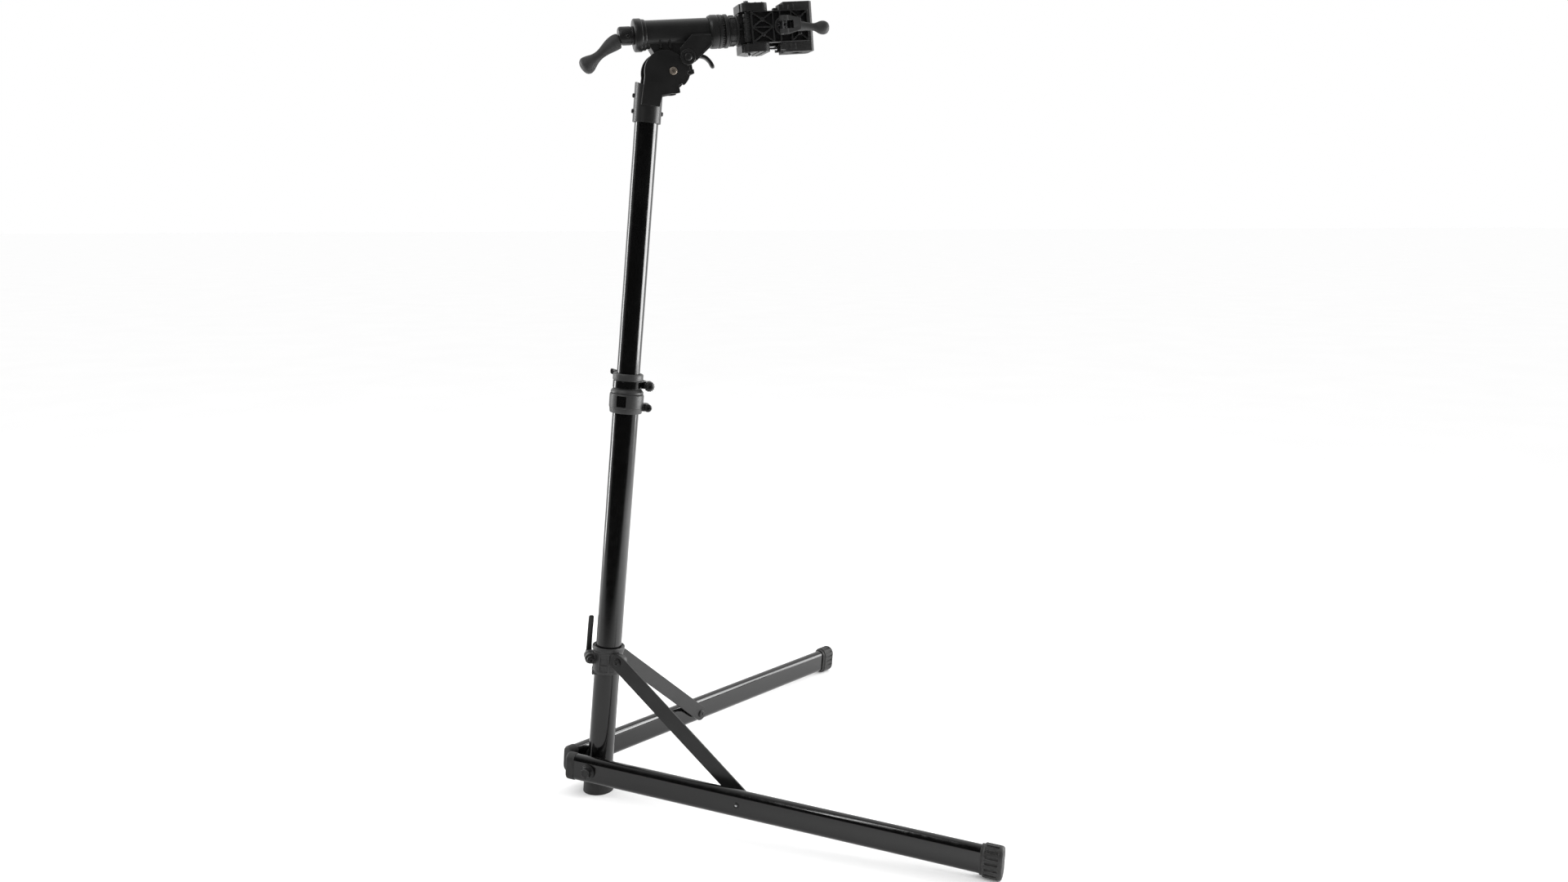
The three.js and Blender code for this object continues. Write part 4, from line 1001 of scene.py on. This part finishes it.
def yoke_outline(tilt, disc, disc_radius, ratchet, front_top):
    """A yoke plate: a disc with a notched front rim round the tilt bolt."""
    low_notch = ratchet - 3.9
    points = [(-14, front_top - 18), (17, front_top - 18), (20, front_top)]
    points += arc(*tilt, 36, -88, -66, 5)
    points += arc(*tilt, low_notch, -62, -48, 4)
    points += arc(*tilt, ratchet, -46, -7, 10)
    points += arc(*tilt, low_notch, -5, 5, 4)
    points += arc(*tilt, ratchet, 7, 54, 12)
    points += arc(*disc, disc_radius, 75, 195, 32)
    return points


def head_yoke():
    """The sleeve on the upper tube with a notched plate on each side of the head."""
    low, high = span(MAST, "head_yoke")
    bolt = middle(MAST, "tilt_bolt")
    wall = 3.4
    rear_height = 64
    front_height = 45
    plate_thickness = 6
    ratchet = 28.4
    radius = UPPER_BORE + wall
    bottom = low.z
    rear_top = bottom + rear_height
    front_top = bottom + front_height
    sleeve = turned(rectangle(UPPER_BORE, radius, bottom, rear_top + 6))
    slope = Vector((rear_top - front_top, 0, 2 * radius))
    shells = [sliced(sleeve, (0, 0, (rear_top + front_top) / 2), slope)]
    disc_radius = 35
    disc = (22.5, high.z - disc_radius)
    shape = yoke_outline((bolt.x, bolt.z), disc, disc_radius, ratchet, front_top)
    tube_hole = rod(UPPER_BORE, bottom - 5, span(MAST, "upper_tube")[1].z + GAP, ROUND)
    for side in (-1, 1):
        cheek = plate(shape, side * (high.y - plate_thickness), side * high.y)
        washer = turned(rectangle(4.4, 9.5, high.y - 1, high.y + 0.1))
        turn = across(bolt, side)
        shells += [cut(cheek, tube_hole.copy()), moved(washer, turn)]
    for side, height in ((-1, bottom + 42), (-1, bottom + 17), (1, bottom + 17)):
        boss = turned(rectangle(0, 4.6, radius - 2, radius + 0.2))
        shells.append(cut(moved(boss, at(0, 0, height) @ facing(side, 0, 0)), tube_hole.copy()))
    piece("head_yoke", joined(*shells), MAST, "satin_black", 0.6)


def sleeve_screws():
    for name in ("rear_upper", "rear_lower", "front"):
        node = f"sleeve_screw_{name}"
        low, high = span(MAST, node)
        place = middle(MAST, node)
        side = math.copysign(1, place.x)
        start = min(abs(low.x), abs(high.x))
        tip = max(abs(low.x), abs(high.x))
        screw = socket_nut([(0, start), (2.2, start), (2.2, tip - 2.7), (3.6, tip - 2.7), (3.6, tip - 1.3),
                            (3, tip - 0.4), (2, tip), (0, tip)], 2.4, 1.2, tip)
        piece(node, moved(screw, at(0, 0, place.z) @ facing(side, 0, 0)), MAST, "black_steel", 0.1)


def tilt_pivot():
    bolt = middle(MAST, "tilt_bolt")
    low, high = span(MAST, "tilt_bolt")
    tip = -low.y
    head = socket_nut([(0, -high.y), (4, -high.y), (4, tip - 2.5), (6.4, tip - 2.5), (6.4, tip - 1),
                       (6, tip - 0.35), (5.2, tip), (0, tip)], 5, 2.2, tip)
    piece("tilt_bolt", moved(head, across(bolt, -1)), MAST, "bronze", 0.15)
    low, high = span(MAST, "tilt_nut")
    nut = cut(prism(hexagon(13), low.y, high.y - 0.9), rod(4.2, low.y - 3, high.y + 3))
    collar = turned([(4.2, high.y - 1.4), (6.2, high.y - 1.4), (5.8, high.y), (4.2, high.y)])
    piece("tilt_nut", moved(joined(nut, collar), across(bolt, 1)), MAST, "zinc_steel", 0.4)


# --- head

LATCH_BORE = 3.8
LATCH_CHEEK = (23.8, 27.8)
CRANK_ANGLE = 32.6
INDEX_TEETH = 40
NECK_RIBS = 14


def head_body():
    """The head tube with the web, fins and latch cheeks under it."""
    low, high = span(SPIN, "head_body")
    radius = high.z
    wall = 5.7
    web_half = 16.4
    fin_half = 20.5
    fin_places = (-18, -2)
    bolt_clearance = 6.5
    bore = radius - wall
    back, front = low.x, high.x
    tube = turned([
        (bore, back), (radius, back), (radius, front - 20), (radius, front), (bore, front),
    ], FINE_ROUND)
    shells = [moved(tube, at(0, 0, AXIS_HEIGHT) @ facing(*ALONG_X))]
    under = AXIS_HEIGHT - radius + 4
    web = rounded([(-36, under + 4), (-27, 28), (-12, 4), (0, -13), (12, 2), (12, 24), (36, under + 4)], 5)
    shells.append(plate(web, -web_half, web_half))
    shells.append(plate(circle(0, 0, 13, ROUND), -web_half - 0.1, web_half + 0.1))
    for x in fin_places:
        fin = rounded(rectangle(x, x + 3, AXIS_HEIGHT - 24.5, AXIS_HEIGHT - 6), 1)
        shells.append(plate(fin, -fin_half, fin_half))
    pin = middle(HEAD, "latch_pin")
    cheek_inner, cheek_outer = LATCH_CHEEK
    rim = span(SPIN, "index_ring")[0].x - 0.5
    for side in (-1, 1):
        cheek = rounded([(34, 54), (13.5, 35), (14, 19), (30, 9), (37, 12), (rim, 36.5), (rim, 54)], 3)
        shells.append(plate(cheek, side * cheek_inner, side * cheek_outer))
        rib = rounded([(36.5, 15), (39.5, 13.8), (rim - 0.4, 36.8), (rim - 0.4, 40.2)], 0.8)
        shells.append(plate(rib, side * (cheek_outer - 1), side * (cheek_outer + 1.4)))
        boss = turned([(LATCH_BORE, cheek_inner), (13, cheek_inner), (13, cheek_outer + 1.2),
                       (12.2, cheek_outer + 2.3), (9.6, cheek_outer + 2.3), (9, cheek_outer + 1.5),
                       (LATCH_BORE, cheek_outer + 1.5)])
        shells.append(moved(boss, across(pin, side)))
        root = rounded([(24, 42.5), (rim, 42.5), (rim, 56), (36, 56)], 2)
        shells.append(plate(root, side * 8, side * (cheek_outer - 0.4)))
    bolt_hole = moved(rod(bolt_clearance, -30, 30), facing(0, 1, 0))
    axis_hole = moved(rod(bore, back - 5, front + 5, ROUND), at(0, 0, AXIS_HEIGHT) @ facing(*ALONG_X))
    latch_hole = moved(rod(LATCH_BORE, -40, 40), across(pin, 1))
    carved = [shells[0]] + [cut(shell, bolt_hole.copy(), axis_hole.copy(), latch_hole.copy())
                            for shell in shells[1:]]
    piece("head_body", joined(*carved), HEAD, "satin_black", 0.7)


def latch_pin():
    pin = middle(HEAD, "latch_pin")
    low, high = span(HEAD, "latch_pin")
    tip = -low.y
    shape = turned([(0, -high.y), (5, -high.y), (5, -high.y + 2), (3.5, -high.y + 2), (3.5, tip - 3),
                    (6.5, tip - 3), (6.5, tip - 2.2), (6, tip - 1.5), (5, tip - 0.8), (3.6, tip - 0.3),
                    (1.8, tip - 0.05), (0, tip)])
    piece("latch_pin", moved(shape, across(pin, -1)), HEAD, "black_steel", 0.0)


def latch_lever():
    """The trigger: a broad blade from the latch pin, and the tooth that drops in the yoke's notch."""
    pin = middle(HEAD, "latch_pin")
    blade = swept([
        (0, 0, 6.5, 8.6), (6, 0.6, 6, 8.2), (14, 2.4, 4.6, 7.6), (24, 3.2, 3.7, 7.4), (34, 0.4, 3.3, 7.4),
        (41, -6.4, 3.1, 7.3), (44.8, -13.4, 3.2, 6.8), (46, -16.4, 2.5, 5), (46.3, -17.7, 1.1, 2.4),
    ], 28, 2.8)
    hub_half = 9
    tooth_half = 22.5
    hub = moved(rod(8, -hub_half, hub_half), facing(0, 1, 0))
    arm = plate(rounded([(-7, 3), (-4, -20), (10, -22), (8, 3)], 2), -hub_half, hub_half)
    tooth = plate(rounded([(3.4, -27.5), (9.5, -26), (9, -19), (3.6, -20)], 0.8),
                  -tooth_half, tooth_half)
    hole = moved(rod(LATCH_BORE, -30, 30), facing(0, 1, 0))
    shells = [cut(shell, hole.copy()) for shell in (blade, hub, arm)]
    mesh = joined(*shells, tooth)
    piece("latch_lever", moved(mesh, at(pin.x, 0, pin.z)), HEAD, "black_plastic", 0.3)


def bearings():
    """The flanged cap behind the head tube and the toothed index ring in front of it."""
    low, high = span(SPIN, "rear_bearing_cap")
    back = low.x
    rim = high.z
    bore = 9.8
    over = span(SPIN, "head_body")[1].z + GAP
    cap = turned([
        (bore, back),
        *off(rim, back, (-2.4, 0), (-0.8, 0.8), (0, 2.4), (0, 11.6), (-0.7, 12.8), (-1.6, 13.4)),
        *off(rim, high.x, (-1.6, -3), (-2, -1), (-2.8, 0)), (over, high.x), (over, back + 12),
        (bore, back + 12),
    ], FINE_ROUND)
    piece("rear_bearing_cap", moved(cap, facing(*ALONG_X)), SPIN, "satin_black", 0.4)

    low, high = span(SPIN, "index_ring")
    rim = high.z
    front = high.x
    body = moved(turned([
        (over, low.x), *off(rim, low.x, (-1.8, 0), (-0.6, 3.2), (0, 4.4)), *off(rim, front, (0, -10),
        (-1.6, -9.4), (-1.6, -8), (0, -7.4), (0, -3), (-3, -2.6), (-3, -0.2)), (bore, front - 0.2),
        (bore, front - 14), (over, front - 14),
    ], FINE_ROUND), facing(*ALONG_X))
    tooth = block((front - 3.2, front + 0.4), (-1.1, 1.1), (rim - 3.4, rim - 0.7))
    piece("index_ring", joined(body, *ring_of(tooth, INDEX_TEETH)), SPIN, "satin_black", 0.3)


def turntable():
    """The rotating shaft, its plate against the index ring and the ribbed neck behind the jaws."""
    low, high = span(SPIN, "turntable")
    rim = high.z
    neck = rim - 3.2
    neck_front = high.x
    plate_front = neck_front - 17
    plate_back = plate_front - 6.5
    shaft_radius = 9.5
    draw_bore = 4 + GAP
    body = moved(turned([
        (draw_bore, low.x), (shaft_radius, low.x), (shaft_radius, plate_back), (rim - 1.4, plate_back),
        (rim, plate_back + 1.2), (rim, plate_front - 1), (rim - 1, plate_front),
        *off(neck, plate_front, (0.6, 0), (-1, 1.4), (-1, 3), (0, 3.6)),
        *off(neck, neck_front, (0, -5), (-1, -4.4), (-1, -2.8), (0, -2.2), (0, 0)), (0, neck_front),
        (0, neck_front - 19), (draw_bore, neck_front - 19),
    ], FINE_ROUND), facing(*ALONG_X))
    rib = block((plate_front + 3, neck_front - 5.4), (-1.4, 1.4), (neck - 1, neck + 1))
    ribs = ring_of(rib, NECK_RIBS, offset=0.5)
    piece("turntable", joined(body, *ribs), SPIN, "black_plastic", 0.35)


def crank():
    """The hub behind the head, its set screw and the curved handle with a ball end."""
    low, high = span(SPIN, "crank_hub")
    radius = high.z
    elbow = Vector((low.x + 6, 0, -4))
    arm_angle = math.radians(CRANK_ANGLE)
    along_arm = at(*elbow) @ facing(-math.cos(arm_angle), 0, -math.sin(arm_angle))
    shoulder = 5.2
    stem_radius = 5
    screw_radius = 3
    hub = moved(turned([
        (0, low.x), *off(radius, low.x, (-3.4, 0), (-1, 1.6), (0, 4)),
        *off(radius, high.x, (0, -4.6), (-0.7, -4), (-0.7, -2.6), (0, -2), (0, 0)), (0, high.x),
    ]), facing(*ALONG_X))
    trim = moved(block((-40, 40), (-40, 40), (shoulder, 60)), along_arm)
    draw_hole = moved(rod(4 + GAP, low.x + 9.7, high.x + 5), facing(*ALONG_X))
    stem_hole = moved(rod(stem_radius + GAP, -4, 40), along_arm)
    screw_place = middle(SPIN, "crank_set_screw")
    screw_start, screw_tip = outward_span(SPIN, "crank_set_screw", -1)
    screw_turn = across(screw_place, -1)
    screw_hole = moved(rod(screw_radius + GAP, screw_start - GAP, 30), screw_turn)
    piece("crank_hub", cut(hub, trim, draw_hole, stem_hole, screw_hole), SPIN, "satin_black", 0.5)

    # Each station has its rise above the straight line, its distance from the elbow and its radius.
    stations = [
        (0.3, 5.6, 10.4), (0.9, 8, 12.2), (1.8, 15, 12.4), (2.2, 24, 11.2), (1.8, 34, 9),
        (1.2, 43, 7.6), (0.8, 50, 7.8), (0.4, 57, 9.4), (0.2, 64, 12.2), (0, 70, 14), (0, 75, 14),
        (0, 79.4, 11.4), (0, 82, 6.6), (0, 82.7, 1.6),
    ]
    grip = swept([(rise, along, size, size) for rise, along, size in stations], 40)
    stem = rod(stem_radius, -3, 7)
    piece("crank_handle", moved(joined(grip, stem), along_arm), SPIN, "grip", 0.0)

    screw = socket_nut([(0, screw_start), (3, screw_start), (3, screw_tip - 0.5), (2.4, screw_tip),
                        (0, screw_tip)], 3, 2.4, screw_tip)
    piece("crank_set_screw", moved(screw, screw_turn), SPIN, "black_steel", 0.1)


# --- clamp jaws

ROD_RADIUS = 4
PIN_RADIUS = 3
JAW_BOLT = span(SPIN, "clamp_rod")[1].x - ROD_RADIUS
JAW_AXIS = Vector((JAW_BOLT, 0, 0))
HINGE = middle(SPIN, "jaw_hinge_pin")
HINGE_AXIS = at(HINGE.x, HINGE.y, 0)
JAW_HALF = 25
JAW_SKIN = (25, 30)
JAW_OUTER = 38
JAW_STUDS = 10
KNOB_LOBES = 8
KNUCKLES = 6


def lattice(side, back, front):
    """A jaw's side: a skin, its rims, and crossed ribs in front of and behind the bolt."""
    foot = side * (JAW_SKIN[1] - 0.8)

    def wall(start, end, width, lower):
        return plate(bar(start, end, width), foot, side * (JAW_OUTER - lower))

    rim = JAW_HALF - 1.4
    skin_outline = rounded(rectangle(back, front, -JAW_HALF, JAW_HALF), 2)
    shells = [plate(skin_outline, side * JAW_SKIN[0], side * JAW_SKIN[1])]
    for up in (-1, 1):
        flange = rectangle(back, front, up * rim, up * JAW_HALF)
        shells.append(plate(flange, foot, side * (JAW_OUTER - 0.05)))
        shells.append(wall((JAW_BOLT - 4, up * 12), (JAW_BOLT - 4, up * rim), 2.2, 0))
    cells = ((back + 1.2, JAW_BOLT - 16), (JAW_BOLT + 15, front - 1.2))
    for start, end in cells:
        shells.append(wall((start, -rim), (start, rim), 2.4, 0.1))
        shells.append(wall((end, -rim), (end, rim), 2.4, 0.2))
        shells.append(wall((start, 0), (end, 0), 2.2, 0.6))
        for up in (-1, 1):
            node = ((start + end) / 2, up * rim / 2)
            for corner in ((start, 0), (end, 0), (start, up * rim), (end, up * rim)):
                shells.append(wall(corner, node, 2.2, 0.3))
            cap = turned([(0, JAW_SKIN[1] - 1), (3.4, JAW_SKIN[1] - 1), (3.4, JAW_OUTER - 0.7),
                          (2.6, JAW_OUTER + 0.1), (0, JAW_OUTER + 0.1)])
            shells.append(moved(cap, at(node[0], 0, node[1]) @ facing(0, side, 0)))
    return shells


def knuckles():
    """The stacked barrels of the hinge, with a groove between each two."""
    half = 23.5
    length = 2 * half / KNUCKLES
    profile = [(0, -half)]
    for step in range(KNUCKLES):
        low = -half + step * length
        profile += [(5.9, low + 0.3), (6.9, low + 1.1), (7, low + length / 2), (6.9, low + length - 1.1),
                    (5.9, low + length - 0.3)]
    profile.append((0, half))
    return moved(turned(profile, SMALL_ROUND), HINGE_AXIS)


def moving_jaw():
    """The right jaw, which swings on the hinge; its round seat carries the lever's cam."""
    front = span(SPIN, "moving_jaw")[1].x
    shells = lattice(-1, 134, front)
    neck = block((HINGE.x + 2, 135.5), (-25.5, HINGE.y - 5), (-23.5, 23.5))
    cam_slot = block((JAW_BOLT - 9, JAW_BOLT + 7), (-60, -20), (-4.6, 4.6))
    seat = moved(turned([(0, 26), (14.5, 26), (14.5, JAW_OUTER + 1.8), (13.4, JAW_OUTER + 2.9),
                         (11.6, JAW_OUTER + 2.9), (10.8, JAW_OUTER + 2.2), (0, JAW_OUTER + 2.2)]),
                 across(JAW_AXIS, -1))
    pin_hole = moved(rod(PIN_RADIUS + GAP, -60, 60), HINGE_AXIS)
    shells[0] = cut(shells[0], cam_slot.copy())
    shells += [cut(seat, cam_slot), cut(knuckles(), pin_hole), neck]
    piece("moving_jaw", joined(*shells), SPIN, "black_plastic", 0.35)


def fixed_jaw():
    """The left jaw, with a slanted web to the turntable and an end plate above and below."""
    low, high = span(SPIN, "fixed_jaw")
    back = low.x
    top = high.z
    slant_x = 136
    slant_y = 14
    wall = 7
    outer = JAW_OUTER - 0.3
    shells = lattice(1, slant_x + 0.2, high.x)
    bolt_hole = moved(rod(ROD_RADIUS + GAP, 10, 60), across(JAW_AXIS, 1))
    shells[0] = cut(shells[0], bolt_hole)
    web = [(back, -18), (back + wall, -18), (back + wall, slant_y), (slant_x + wall, JAW_SKIN[0] + 0.2),
           (slant_x + wall, outer), (slant_x, outer), (back, slant_y)]
    shells.append(prism(web, 0.3 - JAW_HALF, JAW_HALF - 0.3))
    lobe_front = 165
    lobe = ([(slant_x, JAW_OUTER), (back, slant_y + 0.3), (back, HINGE.y)]
            + arc(HINGE.x + 1, HINGE.y, 11.5, 180, 270, 10)
            + arc(lobe_front - 14, HINGE.y + 2.5, 14, 270, 360, 10)
            + arc(lobe_front - 10, JAW_OUTER - 10, 10, 0, 90, 8))
    pin_bore = PIN_RADIUS + GAP
    pin_hole = moved(rod(pin_bore, -60, 60), HINGE_AXIS)
    for up in (-1, 1):
        shells.append(cut(prism(lobe, up * (JAW_HALF + 0.6), up * (top - 1.2)), pin_hole.copy()))
        boss = turned([(pin_bore, JAW_HALF + 1), (8.6, JAW_HALF + 1), (8.6, top - 1), (7.6, top),
                       (pin_bore, top)])
        shells.append(moved(boss, HINGE_AXIS @ Matrix.Diagonal((1, 1, up, 1))))
        for x in (143, 154):
            rib = rounded(rectangle(x, x + 2, -34, 30), 0.6)
            shells.append(prism(rib, up * (top - 1.6), up * top))
    stud = moved(rod(2.2, back, back + 5, 20), at(0, 0, 20) @ facing(*ALONG_X))
    shells += ring_of(stud, JAW_STUDS, offset=0.5)
    piece("fixed_jaw", joined(*shells), SPIN, "black_plastic", 0.4)


def jaw_pads():
    """Rubber pads with an upright groove that holds a round or oval tube."""
    for node, side in (("moving_pad", -1), ("fixed_pad", 1)):
        low, high = span(SPIN, node)
        face, seat = outward_span(SPIN, node, side)
        half = high.z
        back = low.x + 7
        groove = 216
        profile = [(back, 0), (groove - 13, 0), (groove - 8, 4.5), (groove - 3, 8.2), (groove, 9),
                   (groove + 3, 8.2), (groove + 8, 4.5), (groove + 13, 0), (high.x, 0),
                   (high.x, seat - face - 5), (high.x - 5, seat - face), (back, seat - face)]
        body = prism([(x, side * (face + depth)) for x, depth in profile], -half, half)
        if side < 0:
            body = cut(body, block((back - 3, back + 2), (-3, -40), (-5.2, 5.2)))
        shells = [body]
        for up in (-1, 1):
            heights = (up * (JAW_HALF + 1), up * (half - 4))
            shells.append(block((low.x, back + 1), (side * (seat - 10), side * (seat - 0.1)), heights))
            for x in (back + 8, back + 16):
                shells.append(block((x, x + 1.8), (side * (seat - 1), side * (seat + 0.4)), heights))
        piece(node, joined(*shells), SPIN, "rubber", 0.5)


def clamp_hardware():
    low, high = span(SPIN, "clamp_rod")
    rod_mesh = moved(rod(ROD_RADIUS, low.y, high.y), across(JAW_AXIS, 1))
    piece("clamp_rod", rod_mesh, SPIN, "zinc_steel", 0.5)
    low, high = span(SPIN, "adjuster_knob")
    core = turned([(4.3, low.y), (9, low.y), (11.6, low.y + 3.6), (11.6, high.y - 2), (10, high.y - 0.4),
                   (4.6, high.y), (4.3, high.y - 1)])
    lobe = turned([(0, low.y + 3.2), (3, low.y + 3.2), (3.6, low.y + 4.4), (3.6, high.y - 3.4),
                   (2.6, high.y - 2.2), (0, high.y - 2.2)], 24)
    lobes = ring_of(moved(lobe, at(10.3, 0, 0)), KNOB_LOBES, "Z")
    knob = moved(joined(core, *lobes), across(JAW_AXIS, 1))
    piece("adjuster_knob", knob, SPIN, "black_plastic", 0.4)
    low, high = span(SPIN, "jaw_hinge_pin")
    pin = turned([(0, low.z), (2.2, low.z), (3, low.z + 1), (3, high.z - 3.4), (5.5, high.z - 3.4),
                  (5.5, high.z - 1.6), (4.4, high.z - 0.4), (2, high.z), (0, high.z)])
    piece("jaw_hinge_pin", moved(pin, HINGE_AXIS), SPIN, "zinc_steel", 0.2)
    low, high = span(SPIN, "jaw_tie_rod")
    centre = (low + high) / 2
    tie = turned([(0, low.x), (2.5, low.x), (2.5, low.x + 6), (2.2, low.x + 6.6), (2.2, high.x - 6.6),
                  (2.5, high.x - 6), (2.5, high.x), (0, high.x)])
    piece("jaw_tie_rod", moved(tie, at(0, centre.y, centre.z) @ facing(*ALONG_X)), SPIN, "zinc_steel", 0.3)


def jaw_lever():
    """The quick-release handle of the moving jaw: a windowed fork, a waist and a ball end."""
    pivot = SPIN.inverted() @ joint_point("jaw_lever_open")
    barrel_radius = 4.6
    cam_half = 14.5
    bore = moved(rod(2.6, -8, 8), facing(0, 1, 0))
    barrel = cut(rod(barrel_radius, -13.5, 13.5), bore)
    piece("jaw_barrel", moved(barrel, at(*pivot)), SPIN, "zinc_steel", 0.4)

    profile = smooth([(9.2, 8), (9.4, 14), (8.6, 22), (7.2, 32), (6.2, 42), (6.1, 49), (7.6, 54), (9.8, 58.5),
                      (11, 63.5), (10.6, 68.5), (8.4, 72.6), (4.8, 75), (2, 75.5)], 4)
    grip = turned([(0, 8)] + [tuple(point) for point in profile] + [(0, 75.5)])
    reach = 64
    handle = moved(grip, Matrix.Rotation(math.asin(7 / reach), 4, "Y") @ Matrix.Diagonal((1, 0.86, 1, 1))
                   @ facing(*ALONG_X))
    cheeks = plate(rounded([(-4, -14.5), (6, -14.5), (26, -9), (26, 9), (6, 14.5), (-4, 14.5)], 4), -7.5, 7.5)
    cam = rod(8.8, -cam_half, cam_half, ROUND)
    window = block((-16, 13), (-16, 16), (-6.2, 6.2))
    bore = rod(barrel_radius + GAP, -20, 20)
    shells = [cut(shell, window.copy(), bore.copy()) for shell in (handle, cheeks, cam)]
    piece("jaw_lever", moved(joined(*shells), at(*pivot)), SPIN, "grip", 0.6)


# --- carried-over CAD nodes

KEPT = {
    "right_leg_pivot_sleeve": "zinc_steel",
    "left_leg_pivot_sleeve": "zinc_steel",
    "upper_tube_bush": "grey_plastic",
    "tilt_bush": "zinc_steel",
    "latch_spring": "zinc_steel",
    "draw_bolt": "zinc_steel",
}


def carry_over():
    """Gives the hidden CAD nodes that stay as they are a proper finish."""
    for node, slot in KEPT.items():
        for holder in frame["nodes"][node].material_slots:
            holder.material = MATERIALS[slot]


# --- studio

FLOOR_HALF = 60.0
LIGHTS_AIM = Vector((0.1, 0, 0.7))


def reflected(graph, plain, mirrored):
    """One value for what is seen or lit directly and another for what shows in reflections."""
    return graph.ramp(graph.node("LightPath").outputs["Is Glossy Ray"], 0.0, 1.0, plain, mirrored)


def floor():
    """A white floor. In reflections it fades to dark on the viewer's side."""
    material = bpy.data.materials.new("floor")
    graph = Graph(material)
    tone = graph.ramp(graph.noise(graph.node("TexCoord").outputs["Object"], 400), 0.3, 0.7, 0.975, 0.99)
    place = graph.node("NewGeometry").outputs["Position"]
    near = graph.ramp(graph.dot(place, VIEW_AWAY), -1.25, -0.7, 0.03, 1.0)
    far_right = graph.ramp(graph.dot(place, VIEW_AWAY + VIEW_RIGHT), -0.15, 0.55, 0.6, 1.0)
    shade = reflected(graph, 1.0, graph.math("MULTIPLY", near, far_right))
    shader = graph.node("BsdfDiffuse", {"Color": graph.math("MULTIPLY", tone, shade)})
    graph.node("OutputMaterial", {"Surface": shader.outputs["BSDF"]})
    corners = [(x, y, 0) for x, y in rectangle(-FLOOR_HALF, FLOOR_HALF, -FLOOR_HALF, FLOOR_HALF)]
    mesh = bpy.data.meshes.new("floor")
    mesh.from_pydata(corners, [], [(0, 1, 2, 3)])
    mesh.materials.append(material)
    obj = bpy.data.objects.new("floor", mesh)
    scene.collection.objects.link(obj)


def surroundings():
    """A white room. In reflections it fades to dark on the viewer's side."""
    world = bpy.data.worlds.new("studio")
    scene.world = world
    graph = Graph(world)
    ahead = graph.dot(graph.node("TexCoord").outputs["Generated"], VIEW_AWAY)
    strength = reflected(graph, 1.0, graph.ramp(ahead, -0.45, 0.5, 0.015, 1.0))
    shader = graph.node("Background", {"Color": (1, 1, 1, 1), "Strength": strength})
    graph.node("OutputWorld", {"Surface": shader.outputs["Background"]})


def softbox(name, turn, distance, height, width, tall, power):
    """A rectangular light at a turn in degrees from the viewer's side, positive to the right."""
    angle = math.radians(turn)
    place = (VIEW_RIGHT * math.sin(angle) - VIEW_AWAY * math.cos(angle)) * distance
    place.z = height
    light = bpy.data.lights.new(name, "AREA")
    light.shape = "RECTANGLE"
    light.size = width
    light.size_y = tall
    light.energy = power
    obj = bpy.data.objects.new(name, light)
    obj.location = place
    obj.rotation_euler = (LIGHTS_AIM - place).to_track_quat("-Z", "Y").to_euler()
    obj.visible_camera = False
    scene.collection.objects.link(obj)


def lights():
    softbox("left strip", -108, 2.4, 1.1, 0.5, 2.4, 36)
    softbox("right strip", 114, 2.6, 1.1, 0.5, 2.4, 26)
    softbox("low right wash", 98, 1.9, 0.8, 0.8, 0.8, 22)
    softbox("high front strip", -30, 1.5, 2.5, 0.16, 1.8, 9)


def camera():
    back = -VIEW_AWAY * math.cos(VIEW_ELEVATION)
    back.z = math.sin(VIEW_ELEVATION)
    data = bpy.data.cameras.new("camera")
    data.sensor_width = 36.0
    data.lens = LENS
    obj = bpy.data.objects.new("camera", data)
    axes = Matrix((VIEW_RIGHT, back.cross(VIEW_RIGHT), back)).transposed().to_4x4()
    obj.matrix_world = Matrix.Translation(VIEW_PLACE) @ axes
    scene.collection.objects.link(obj)
    scene.camera = obj


for make in (
    tubes, column_foot, base_bracket, legs, slide_collar, collar_release, tube_collar,
    clamp_sleeve, clamp_band, band_release, head_yoke, sleeve_screws, tilt_pivot, head_body,
    latch_pin, latch_lever, bearings, turntable, crank, moving_jaw, fixed_jaw, jaw_pads,
    clamp_hardware, jaw_lever, carry_over, floor, surroundings, lights, camera,
):
    make()
scene.view_settings.view_transform = "Standard"


def plain(corners):
    return [[float(value) for value in corner] for corner in corners]
